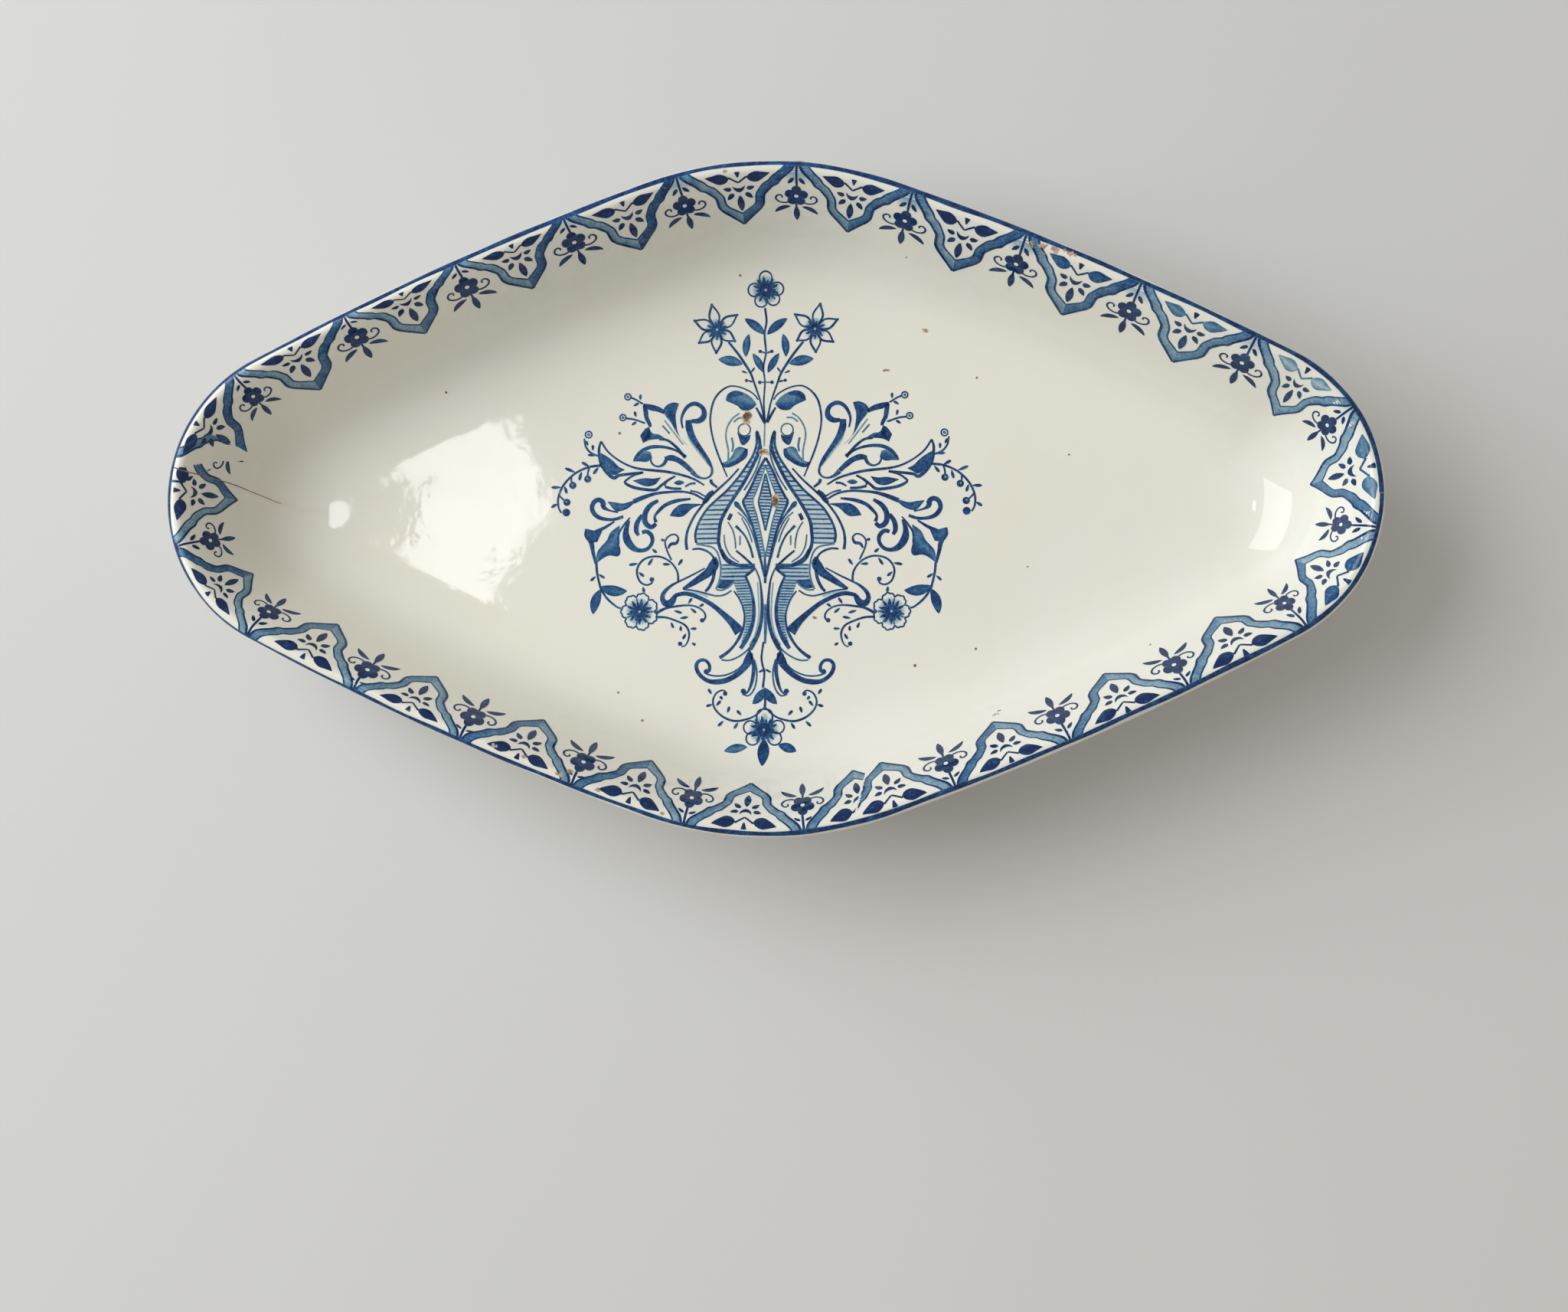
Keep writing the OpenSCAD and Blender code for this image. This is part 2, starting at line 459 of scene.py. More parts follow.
def spline(points, step=STEP):
    """A smooth line through given points, cut into short even steps."""
    p = np.array(points, float)
    if len(p) == 2:
        return resample(p, max(2, math.ceil(run_along(p)[-1] / step) + 1))
    ends = np.vstack([2 * p[0] - p[1], p, 2 * p[-1] - p[-2]])
    t = np.linspace(0, 1, 12, endpoint=False)[:, None]
    parts = [0.5 * (2 * b + (c - a) * t + (2 * a - 5 * b + 4 * c - d) * t * t
                    + (3 * b - a - 3 * c + d) * t ** 3)
             for a, b, c, d in zip(ends, ends[1:], ends[2:], ends[3:])]
    line = np.vstack(parts + [p[-1:]])
    return resample(line, max(3, math.ceil(run_along(line)[-1] / step) + 1))


def sideways(line):
    """Unit steps to the left of a line's way."""
    way = np.gradient(line, axis=0)
    way /= np.linalg.norm(way, axis=1)[:, None] + 1e-9
    return np.c_[-way[:, 1], way[:, 0]]


def circle(sides, tall=1.0):
    a = np.linspace(0, 2 * math.pi, sides + 1)
    return np.c_[np.cos(a), tall * np.sin(a)]


def toned(inks, reach, edge):
    """Places across a shape, from 0 to 1, and its inks there between those of its edges."""
    places = np.linspace(0, 1, max(len(inks), int(reach / ACROSS) + 2))
    return places, [edge, *np.interp(places, np.linspace(0, 1, len(inks)), inks), edge]


class Pen:
    """Its strokes take places, widths and radii in the pen's own unit, and points as pairs or
    as a flat run of x and y. ribbon and grid, under them, take millimetres."""

    def __init__(self, per_mm=1):
        self.per_mm = per_mm
        self.points, self.inks, self.layers, self.faces = [], [], [], []
        self.count = 0
        # Where its drawing goes, where it is cut off, and how strongly it inks
        self.frame = lambda p: p
        self.cut = None
        self.gain = 1.0

    def mm(self, run, columns=2):
        return np.reshape(run, (-1, columns)) / self.per_mm

    def grid(self, rows, inks, layer):
        """rows is (along, across, 2) and inks the same without the last, or only across."""
        n, m = rows.shape[:2]
        flat = self.frame(rows.reshape(-1, 2))
        index = np.arange(n * m).reshape(n, m) + self.count
        quads = np.stack([index[:-1, :-1], index[1:, :-1], index[1:, 1:], index[:-1, 1:]], -1)
        quads = quads.reshape(-1, 4)
        if self.cut is not None:
            (start, start_lean), (end, end_lean) = self.cut
            x, y = flat.T
            kept = (x >= start + start_lean * y) & (x <= end + end_lean * y) & (y > line_down(x))
            quads = quads[kept[quads - self.count].all(1)]
        self.points.append(flat)
        self.inks.append(np.clip(np.broadcast_to(inks, (n, m)).reshape(-1) * self.gain, 0, MOST_INK))
        self.layers.append(np.full(n * m, float(layer)))
        self.faces.append(quads)
        self.count += n * m

    def ribbon(self, line, half, inks=(1.0, 1.0), edge=EDGE_INK, layer=1):
        """A line of changing half width, with inks spread across it and soft edges."""
        half = np.broadcast_to(half, len(line))
        soft = np.minimum(FEATHER, half * 0.8)
        places, tones = toned(inks, 2 * half.max(), edge)
        across = [-half - soft, *((half - soft) * (2 * s - 1) for s in places), half + soft]
        side = sideways(line)
        self.grid(np.stack([line + side * a[:, None] for a in across], 1), tones, layer)

    def stroke(self, run, width, ink=0.95, taper=(1.0, 1.0), edge=EDGE_INK, layer=2, step=STEP):
        """A drawn line that may thin or swell towards either end."""
        line = spline(self.mm(run), step)
        t = np.linspace(0, 1, len(line))
        half = SPREAD * width / self.per_mm / 2 * np.ones(len(line))
        for share, gone in zip(taper, (t, 1 - t)):
            half = half * (share + (1 - share) * np.minimum(1, gone * 4))
        self.ribbon(line, half, (ink, ink), edge, layer)

    def brush(self, run, ink=0.94, layer=2):
        """A line of swelling width, from a run of x, y and width."""
        line = spline(self.mm(run, 3))
        half = SPREAD * np.maximum(line[:, 2], LEAST_WIDTH) / 2
        self.ribbon(line[:, :2], half, (ink, ink), layer=layer)

    def between(self, one, other, inks, edge=EDGE_INK, layer=1, step=STEP):
        """Fills between two edges, from the same start to the same end."""
        a, b = spline(self.mm(one), step), spline(self.mm(other), step)
        n = max(len(a), len(b))
        a, b = resample(a, n), resample(b, n)
        gap = np.linalg.norm(b - a, axis=1)[:, None]
        way = (b - a) / (gap + 1e-9)
        soft = np.minimum(FEATHER, gap * 0.4)
        places, tones = toned(inks, gap.max(), edge)
        rows = [a - way * soft, *(a + way * (soft + (gap - 2 * soft) * s) for s in places), b + way * soft]
        self.grid(np.stack(rows, 1), tones, layer)

    def leaf(self, base, tip, width, bend=0.0, inks=(0.95, 0.8, 0.95), blunt=1.0, layer=2):
        """A pointed leaf. bend bows it to the left of its way, and blunt fattens the tip."""
        base, tip = self.mm((*base, *tip))
        way = tip - base
        side = np.array([-way[1], way[0]])
        t = np.linspace(0, 1, max(7, int(np.hypot(*way) / STEP) + 2))
        line = base + way * t[:, None] + side * (bend * 4 * t * (1 - t))[:, None]
        half = width / self.per_mm / 2 * np.sin(math.pi * t ** blunt) ** 0.8 + 0.02
        self.ribbon(line, half, inks, layer=layer)

    def dot(self, centre, radius, ink=0.95, edge=EDGE_INK, layer=3, sides=18, tall=1.0):
        radius = radius / self.per_mm
        inner = max(radius - FEATHER, radius * 0.3)
        steps = np.r_[np.linspace(0.02, inner, int(inner / ACROSS) + 2), radius + FEATHER]
        rows = self.mm(centre)[0] + circle(sides, tall)[:, None, :] * steps[None, :, None]
        self.grid(rows, [ink] * (len(steps) - 1) + [edge], layer)

    def haze(self, centre, radius, ink):
        """A tone that fades outwards."""
        steps = np.linspace(0.02, 1, 7)
        rows = self.mm(centre)[0] + radius / self.per_mm * circle(18)[:, None, :] * steps[None, :, None]
        self.grid(rows, ink * (1 - steps), 0.5)

    def ring(self, centre, radius, width, ink=0.9):
        line = self.mm(centre)[0] + radius / self.per_mm * circle(22)
        self.ribbon(line, width / self.per_mm / 2, (ink, ink), layer=2)

    def shade(self, run, width, ink_from, ink_to, layer=1):
        """A soft-edged tone that fades along its way."""
        line = spline(self.mm(run))
        bell = np.array([0, 0.8, 1, 0.8, 0])
        across = np.linspace(-0.5, 0.5, len(bell)) * width / self.per_mm
        rows = line[:, None, :] + sideways(line)[:, None, :] * across[None, :, None]
        self.grid(rows, np.linspace(ink_from, ink_to, len(line))[:, None] * bell[None, :], layer)

    def ticks(self, run, width=4.6):
        """Small drop-shaped leaves, each from its tip to its root."""
        for x0, y0, x1, y1 in np.reshape(run, (-1, 4)):
            self.leaf((x0, y0), (x1, y1), width, 0.0, (0.93, 0.93), 0.75, 3)

    def berry(self, centre, radius):
        self.ring(centre, radius - 1.2, 2.6, 0.93)
        self.dot(centre, radius * 0.36, 0.7)

    def hatch(self, left, right, top, bottom, pitch, width, wash):
        """Fine lines across between two edges that run downwards, over a pale wash."""
        edges = [self.mm(edge)[::-1].T for edge in (left, right)]
        top, bottom, pitch = np.array([top, bottom, pitch]) / self.per_mm
        ys = np.linspace(top, bottom, max(3, int((top - bottom) / STEP)))
        a, b = [np.interp(ys, y, x) for x, y in edges]
        self.grid(np.stack([np.c_[x, ys] for x in (a, (a + b) / 2, b)], 1), wash, 0)
        for k in range(int((top - bottom) / pitch) + 1):
            at = top - k * pitch
            x0, x1 = [np.interp(at, y, x) * self.per_mm for x, y in edges]
            if x1 - x0 > 2 * width:
                ends = (x0, (at + 0.04) * self.per_mm, x1 - 0.25 * width, (at - 0.05) * self.per_mm)
                self.stroke(ends, width * (0.9 if k % 3 else 1.1), 0.72 + 0.16 * (k % 2), (1, 0.8), layer=1)

    def lay(self, name, place, material):
        """Lifts what was drawn off the glaze, layer by layer, and makes a piece of it."""
        pts, layers = np.vstack(self.points), np.concatenate(self.layers)
        solid = lifted(place, *pts.T, PRINT_LIFT + LAYER_LIFT * layers)
        used, faces = np.unique(np.vstack(self.faces), return_inverse=True)
        faces = faces.reshape(-1, 4)
        solid = solid[used]
        a, b, c = [solid[faces[:, k]] for k in range(3)]
        upside = np.cross(b - a, c - a)[:, 2] < 0
        faces[upside] = faces[upside][:, ::-1]
        piece = new_piece(name, solid, faces.tolist(), material)
        values = np.concatenate(self.inks)[used].astype(np.float32)
        piece.data.attributes.new("ink", "FLOAT", "POINT").data.foreach_set("value", values)
        return piece


# The line painted on the lip wanders: how far down from the lip's top it sits, and half its
# width, at places along the rim
LINE_AT = (0, 70, 200, 330, 378, 405, 440, 505, 545, RIM.round)
LINE_DOWN = (-0.8, -0.75, -0.8, -1.5, -1.1, -0.95, -0.8, -0.6, -0.7, -0.8)
LINE_HALF = (0.50, 0.54, 0.54, 0.36, 0.42, 0.46, 0.44, 0.46, 0.46, 0.50)


def line_down(u):
    return np.interp(np.mod(u, RIM.round), LINE_AT, LINE_DOWN)


# The border: a lambrequin of hanging lobes with a flower sprig at each join. x runs along the
# rim from the middle of a lobe or sprig, and y down the wall.
LOBE_OUTER = ((11.9, -1.6), (11.3, 0.4), (8.7, 3.4), (8.1, 4.7), (7.0, 5.3), (5.1, 7.7),
              (4.9, 10.6), (4.1, 12.0), (0.0, 16.4))
LOBE_INNER = ((10.2, -1.4), (9.6, 0.0), (6.9, 2.6), (6.5, 3.6), (5.2, 4.5), (3.5, 7.5),
              (3.3, 10.0), (2.7, 10.9), (0.0, 13.1))
LEAF_UPPER = ((6.7, 0.45), (5.3, 0.25), (3.7, 0.05), (2.4, 0.65), (1.8, 1.5))
LEAF_LOWER = ((6.7, 0.45), (5.4, 1.75), (4.0, 2.85), (2.6, 2.6), (1.8, 1.5))
CURL = ((1.2, 8.0), (2.3, 8.4), (3.4, 8.2), (4.1, 7.5), (4.1, 6.7), (3.5, 6.2), (2.9, 6.5), (3.0, 7.0))
BAND_INK = 0.35
# The border took more ink than the centre
BORDER_GAIN = 1.15
OUTLINE_W = 0.42
PETALS = 5


def flanked(flank, points):
    return [(flank * x, y) for x, y in points]


def corners(points):
    """Nearly straight runs between the points, so that the outline keeps softened corners."""
    runs = [spline(pair) for pair in zip(points, points[1:])]
    line = np.vstack([r[:-1] for r in runs] + [runs[-1][-1:]])
    for _ in range(2):
        line[1:-1] = (line[:-2] + 2 * line[1:-1] + line[2:]) / 4
    return line


def lobe_band(pen, flank, dark, smeared):
    """One flank of the hanging band: its wash, the fine strokes in it, and its two outlines."""
    a, b = [corners(flanked(flank, points)) for points in (LOBE_OUTER, LOBE_INNER)]
    n = max(len(a), len(b))
    a, b = resample(a, n), resample(b, n)
    tone = BAND_INK + dark
    places = np.linspace(0, 1, 6)
    inks = tone + 0.30 * smeared * np.clip(1 - (a[:, 1] + 1.6) / 5.5, 0, 1)
    shadow = (0.08 + 0.20 * smeared) * (1 - places) ** 2
    pen.grid(np.stack([a + (b - a) * t for t in places], 1), inks[:, None] + shadow[None, :], 0)
    for k in range(2, n - 1, 2):
        reach = 0.45 + 0.4 * math.sin(2.3 * k + flank) ** 2
        line = np.array([blend(a[k], b[k], reach * share) for share in (0, 0.5, 1)])
        pen.ribbon(line + [[0, 0], [0.05, 0.12], [0.1, 0.15]], 0.07, (tone + 0.11, tone + 0.11), tone, 1)
    heavy = 0.5 + 0.5 * np.abs(np.sin(np.linspace(0.4, 5.0, n) + flank))
    width = OUTLINE_W * (1 + 0.25 * smeared)
    for line, least, more, ink in ((a, 0.36, 0.22, 0.94), (b, 0.24, 0.14, 0.84)):
        pen.ribbon(line, width * (least + more * heavy), (ink, ink), 0.4, 2)


def lobe(pen, dark, pale, smeared, low, torn):
    """What hangs in one lobe: a pair of leaves on a V, a crescent, and a fan of drops."""
    lobe_band(pen, -1, dark * 0.26, smeared)
    if not torn:
        lobe_band(pen, 1, dark * -0.01, smeared)
    hang = pen.frame
    pen.frame = lambda p: hang(p + [0, low])
    heavy = 0.97 - pale * 0.42
    for s in (-1, 1):
        pen.between(flanked(s, LEAF_UPPER), flanked(s, LEAF_LOWER), (heavy, heavy - 0.05 - pale * 0.3, heavy),
                    layer=2)
        pen.stroke((s * 1.9, 1.2, s * 0.9, 2.1, 0, 2.9), 0.32, heavy)
        pen.leaf((s * 1.6, 4.75), (s * 3.3, 4.25), 1.1, 0.05 * s, (0.95, 0.95), 0.7)
        pen.leaf((s * 1.3, 5.9), (s * 2.7, 7.6), 1.1, 0.0, (0.95, 0.95), 0.75)
    pen.between((-0.6, 0, 0, -0.1, 0.6, 0), (-0.55, 0.1, 0, 1.4, 0.55, 0.1), (0.95, 0.95), layer=2, step=0.2)
    pen.between((-1.35, 3.8, -0.7, 4.45, 0, 4.62, 0.7, 4.45, 1.35, 3.8),
                (-1.35, 3.8, -0.95, 5.0, 0, 5.7, 0.95, 5.0, 1.35, 3.8), (0.95, 0.95), layer=2, step=0.2)
    pen.leaf((0, 6.6), (0, 11.3), 1.45, 0.0, (0.96, 0.92, 0.96), 1.05)


def sprig(pen, smeared):
    """A stem from the rim with a rosette, two curls and five leaves."""
    if smeared > 0:
        pen.shade((0, -1.4, 0, 0.6, 0, 3.8), 6.6, 0.70 * smeared, 0.0, layer=-0.5)
    middle = np.array([0.0, 6.4])
    pen.stroke((0.1, -2.4, 0.05, -0.6, 0, 1.6, -0.1, 4.2), 0.34)
    for k in range(PETALS):
        a = -math.pi / 2 + 2 * math.pi * k / PETALS
        out = np.array([math.cos(a), 1.15 * math.sin(a)])
        pen.dot(middle + 1.42 * out, 0.96, 0.97, layer=2, tall=1.15)
    pen.dot(middle, 0.95, 0.97, tall=1.15)
    pen.dot(middle, 0.42, 0.0, edge=0.4, layer=4)
    for s in (-1, 1):
        pen.leaf((s * 0.5, 1.9), (s * 1.7, 3.1), 0.65, 0.0, (0.95, 0.95), 0.8)
        pen.stroke(flanked(s, CURL), 0.28, 0.92, (1, 0.8), step=0.2)
        pen.leaf((s * 1.2, 9.4), (s * 4.5, 11.2), 1.0, -0.10 * s, (0.96, 0.9, 0.96), 0.95)
    pen.leaf((0.0, 9.2), (-0.1, 13.4), 1.2, 0.0, (0.96, 0.9, 0.96), 1.1)
    pen.stroke((0, 8.2, 0, 9.6), 0.3)


# The paper strip was laid by hand in two lengths, which meet with a cut at the left end and an
# overlap near the middle of the front. For each: the places of its joins along the rim, how
# deep each lobe hangs, how deep each sprig's flower sits, and where the paper was cut, as
# (along the rim at the lip, how much further on per millimetre down).
STRIPS = (
    {"joins": (450.0, 474.5, 498.5, 523.5, 549.0, 574.0, 599.4, 623.4, 648.0, 672.4, 696.4, 720.4,
               744.9, 768.9, 792.4, 816.9, 842.0, 868.0),
     "tips": (17.0, 16.0, 16.1, 17.0, 17.8, 18.0, 16.1, 15.5, 16.2, 16.2, 15.3, 15.0, 14.6, 13.3, 12.4,
              13.4, 14.4),
     "flowers": (6.8, 7.0, 7.9, 7.0, 8.8, 8.6, 7.0, 6.8, 7.2, 7.4, 7.0, 7.0, 6.7, 5.7, 5.5, 5.0, 5.8, 7.0),
     "cut": ((454.0, 0.30), (870.0, -0.85)), "torn": True},
    {"joins": (277.0, 300.6, 324.6, 348.6, 372.0, 396.0, 419.5, 443.5, 467.6),
     "tips": (15.8, 13.9, 15.4, 14.2, 15.7, 16.4, 16.5, 17.4),
     "flowers": (8.0, 7.2, 7.3, 5.2, 6.0, 6.3, 7.0, 6.9, 7.0),
     "cut": ((284.0, -0.5), (453.9, 0.30)), "torn": False},
)
# The last flank of the first strip tore off and was laid back further on
TORN_BACK = 4.6
TORN_CUT = ((855.2, 0.0), (870.0, 0.0))
PITCH = 24.3
TIP_DEPTH = LOBE_OUTER[-1][1]
FLOWER_DEPTH = 6.4
STRETCH = 0.30
# Where the print came out otherwise, as (place along the rim, reach to either side): the paper
# stretched on the front wall, and lobes that are pale, smeared or low; and painted shade that
# darkens the bands' wash towards the upper left
STRETCHED = (455.0, 150)
PALE = (30, 75)
# Painted shade: the lobes' bands are darker round the upper left of the rim
PAINTED_SHADE = (190, 140)
SMEARED = (110, 140)
LOW = (130, 130)


def near(u, middle, reach):
    """One at middle, none beyond reach, measured round the rim."""
    gap = (u - middle + RIM.round / 2) % RIM.round - RIM.round / 2
    return max(0.0, 1 - abs(gap) / reach)


def lobe_frame(start, end, tip):
    """A lobe fills its gap between joins. What it hangs deeper is half shift and half stretch."""
    shift = (tip - TIP_DEPTH) / 2
    stretch = (tip - shift) / TIP_DEPTH

    def move(p):
        deep = np.clip(p[:, 1] / TIP_DEPTH, 0, 1)
        return np.c_[(start + end) / 2 + p[:, 0] * (end - start) / PITCH,
                     p[:, 1] * stretch + shift * np.minimum(1, 3 * deep)]
    return move


def sprig_frame(join, flower):
    tall = 1 + STRETCH * min(1.0, 2 * near(join, *STRETCHED))

    def move(p):
        upper = np.maximum(p[:, 1] - 3, 0) * tall
        lift = (flower - 3 - (FLOWER_DEPTH - 3) * tall) * np.clip(p[:, 1] / 3, 0, 1)
        return np.c_[join + 1.08 * p[:, 0], np.minimum(p[:, 1], 3) + upper + lift]
    return move


def border():
    pen = Pen()
    for strip in STRIPS:
        pen.cut = strip["cut"]
        joins = strip["joins"]
        for k, tip in enumerate(strip["tips"]):
            start, end = joins[k], joins[k + 1]
            middle = (start + end) / 2
            pale = near(middle, *PALE)
            pen.frame = lobe_frame(start, end, tip)
            pen.gain = BORDER_GAIN - 0.14 * pale
            torn = strip["torn"] and k == len(strip["tips"]) - 1
            # A lobe's darkness: a random change in the print's tone, plus painted shade towards the upper
            # left
            dark = 0.5 + 0.7 * near(middle, *PAINTED_SHADE) + 0.3 * math.sin(1.7 * k)
            low = min(1.0, 1.6 * near(middle, *LOW))
            lobe(pen, dark, pale, near(middle, *SMEARED), low, torn)
            if torn:
                pen.cut = TORN_CUT
                pen.frame = lobe_frame(start - TORN_BACK, end - TORN_BACK, tip)
                lobe_band(pen, 1, 0.1, 0.0)
                pen.cut = strip["cut"]
        pen.gain = BORDER_GAIN
        for join, flower in zip(joins, strip["flowers"]):
            pen.frame = sprig_frame(join, flower)
            sprig(pen, near(join, *SMEARED))
    return pen.lay("border_print", wall_place, PRINT)


def rim_line():
    """The cobalt line brushed on the lip by hand."""
    pen = Pen()
    u = np.arange(0, RIM.round + 0.4, 0.5)
    middle = line_down(u) + 0.06 * np.sin(u * 0.31) + 0.05 * np.sin(u * 0.11 + 1)
    half = np.interp(u, LINE_AT, LINE_HALF) + 0.06 * np.sin(u * 0.073) + 0.05 * np.sin(u * 0.41 + 2)
    pen.ribbon(np.c_[u, middle], half, (0.93, 0.97, 0.93), layer=3)
    return pen.lay("rim_line", wall_place, PRINT)


border_print = border()
line_print = rim_line()

# The centre is a traditional arabesque: a bouquet, acanthus scrolls, strapwork and a pendant.
# It is drawn in tenths of a millimetre. One half is drawn, and then again mirrored. What stands
# on the axis is drawn once.
PER_MM = 10
MOTIF_AT = (-1.75, 0.05)
MOTIF_SCALE = 1.006
# The left half came out a little paler
PALER_HALF = 0.94
STAR_TIPS = ((78, 52), (22, 50), (-36, 46), (-88, 48), (-147, 44), (144, 51))
HAZE_REACH = 2.0
HEART_STROKES = 20
SCALLOPS = 7


def turned(degrees, reach=1.0):
    return reach * np.array([math.cos(math.radians(degrees)), math.sin(math.radians(degrees))])


def heart(pen, centre, radius):
    """The dark middle of a flower, with strokes and a haze of ink that run out into the petals."""
    pen.haze(centre, HAZE_REACH * radius, 0.9)
    for k in range(HEART_STROKES):
        a = 360 / HEART_STROKES * k + 5 * (k % 3)
        pen.stroke([centre + turned(a, 0.4 * radius), centre + turned(a, radius * (1.25 + 0.4 * (k % 2)))],
                   0.26 * radius, 0.93, (1, 0.15))
    pen.dot(centre, 0.86 * radius, 0.96)
    pen.dot(centre, 2.4, 0.3, layer=4)


def star_flower(pen, centre):
    for bearing, reach in STAR_TIPS:
        base, tip = centre + turned(bearing, 8), centre + turned(bearing, reach)
        side = turned(bearing + 90)
        belly = centre + turned(bearing, 0.56 * reach)
        for s, width in ((-1, 3.6), (1, 2.7)):
            pen.stroke([base + 4.5 * s * side, belly + 10.2 * s * side, tip], width, 0.94)
        pen.dot(tip, 2.4, 0.95)
    heart(pen, centre, 13.5)


def round_flower(pen, centre, petals, reach, radius, middle):
    for bearing in petals:
        pen.ring(centre + turned(bearing, reach), radius, 2.7, 0.93)
    heart(pen, centre, middle)


def scalloped_flower(pen, centre, radius):
    wave = SCALLOPS / 2 * np.linspace(0, 2 * math.pi, 120)
    reach = radius * (0.70 + 0.24 * np.abs(np.cos(wave)) ** 0.6 + 0.06 * np.abs(np.cos(3 * wave)))
    edge = centre + reach[:, None] * circle(len(reach) - 1)
    pen.ribbon(edge / PER_MM, 0.14, (0.93, 0.93), layer=2)
    for k in range(SCALLOPS):
        way = 360 / SCALLOPS * (k + 0.5)
        pen.stroke([centre + turned(way, 0.4 * radius), centre + turned(way, 0.72 * radius)], 2.2, 0.8)
    heart(pen, centre, 0.42 * radius)


def bouquet(pen):
    star_flower(pen, (101, 372))
    pen.brush((77, 346, 3.6, 58, 322, 4, 43, 300, 4.2, 31, 280, 3.6, 23, 258, 3, 14, 232, 2.6, 9, 214, 2.6,
               2, 180, 3))
    pen.leaf((2.5, 361), (44, 394), 17, 0.04)
    pen.leaf((4, 282), (27, 322), 14, 0.02, (0.95, 0.7, 0.95))
    pen.leaf((41, 315), (35, 362), 15, -0.05, (0.9, 0.62, 0.95))
    pen.leaf((48, 300), (98, 310), 20, 0.04, (0.95, 0.6, 0.85))
    pen.ticks((10, 326, 1, 322, 23, 293, 31, 282, 50, 286, 38, 281, 26, 263, 38, 266), 3)
    pen.dot((12, 326), 3.3)
    pen.dot((40, 266), 3)
    pen.dot((12.5, 262), 3.5)
    pen.brush((20, 210, 3, 12, 196, 4, 2, 179, 6))
    pen.brush((16, 226, 2, 23, 236, 2.2, 36, 245, 2.2, 56, 253, 2.3, 76, 254, 2.4, 94, 243, 3,
               107, 225, 3.3, 113, 201, 3.1, 114, 177, 2.8, 108, 144, 2.8, 97, 111, 3, 88, 89, 2.5,
               79, 67, 2))
    pen.between((19, 217, 29, 230, 46, 241, 64, 245, 77, 238, 81, 224),
                (19, 217, 24, 211, 33, 205, 49, 205, 59, 214, 81, 224), (0.6, 0.55, 0.8, 0.95))
    pen.brush((47, 238, 4, 62, 239, 10, 74, 234, 10, 81, 224, 3))


def inner_scroll(pen):
    pen.ring((44, 164), 12.5, 2, 0.9)
    pen.between((31, 154, 41, 150, 51, 152, 59, 160), (31, 154, 35, 141, 49, 133, 59, 160),
                (0.95, 0.85, 0.95))
    pen.between((40, 125, 53, 129, 63, 124, 69, 111, 80, 99, 91, 96),
                (40, 125, 42, 111, 54, 100, 70, 90, 84, 87, 91, 96), (0.7, 0.5, 0.85))
    pen.brush((40, 125, 5, 43, 112, 9, 54, 102, 8, 69, 93, 7, 83, 90, 6, 91, 96, 3))
    pen.stroke((77, 98, 77, 122, 82, 150, 79, 170, 68, 188, 54, 198), 2.4, 0.5)
    pen.stroke((43, 189, 56, 188, 66, 180), 2.4, 0.5)
    pen.stroke((70, 148, 67, 132, 69, 119), 3, 0.6)
    pen.brush((112, 62, 5, 111, 55, 5, 99, 45, 3))
    pen.brush((107, 38, 5, 116, 29, 9, 123, 18, 8, 129, 12, 4))


def crozier(pen):
    pen.brush((153, 183, 6, 139, 183, 9, 129, 190, 10, 127, 202, 8, 133, 213, 7, 147, 219, 7, 161, 213, 6,
               170, 200, 5, 174, 185, 3.5, 171, 168, 2.5))
    pen.brush((159, 185, 10, 158, 169, 12, 152, 152, 11, 143, 137, 9, 130, 119, 7, 118, 101, 6, 111, 87, 4),
              0.92)
    pen.between((154, 170, 149, 146, 130, 120, 114, 89), (162, 170, 160, 146, 142, 120, 117, 89),
                (0.8, 0.2), edge=0.1, layer=0)
    pen.brush((111, 87, 4, 110, 76, 4, 116, 67, 3, 127, 64, 3, 140, 68, 5, 152, 78, 9), 0.8)
    pen.brush((152, 79, 7, 166, 92, 9, 180, 102, 9, 195, 107, 10, 208, 105, 6))


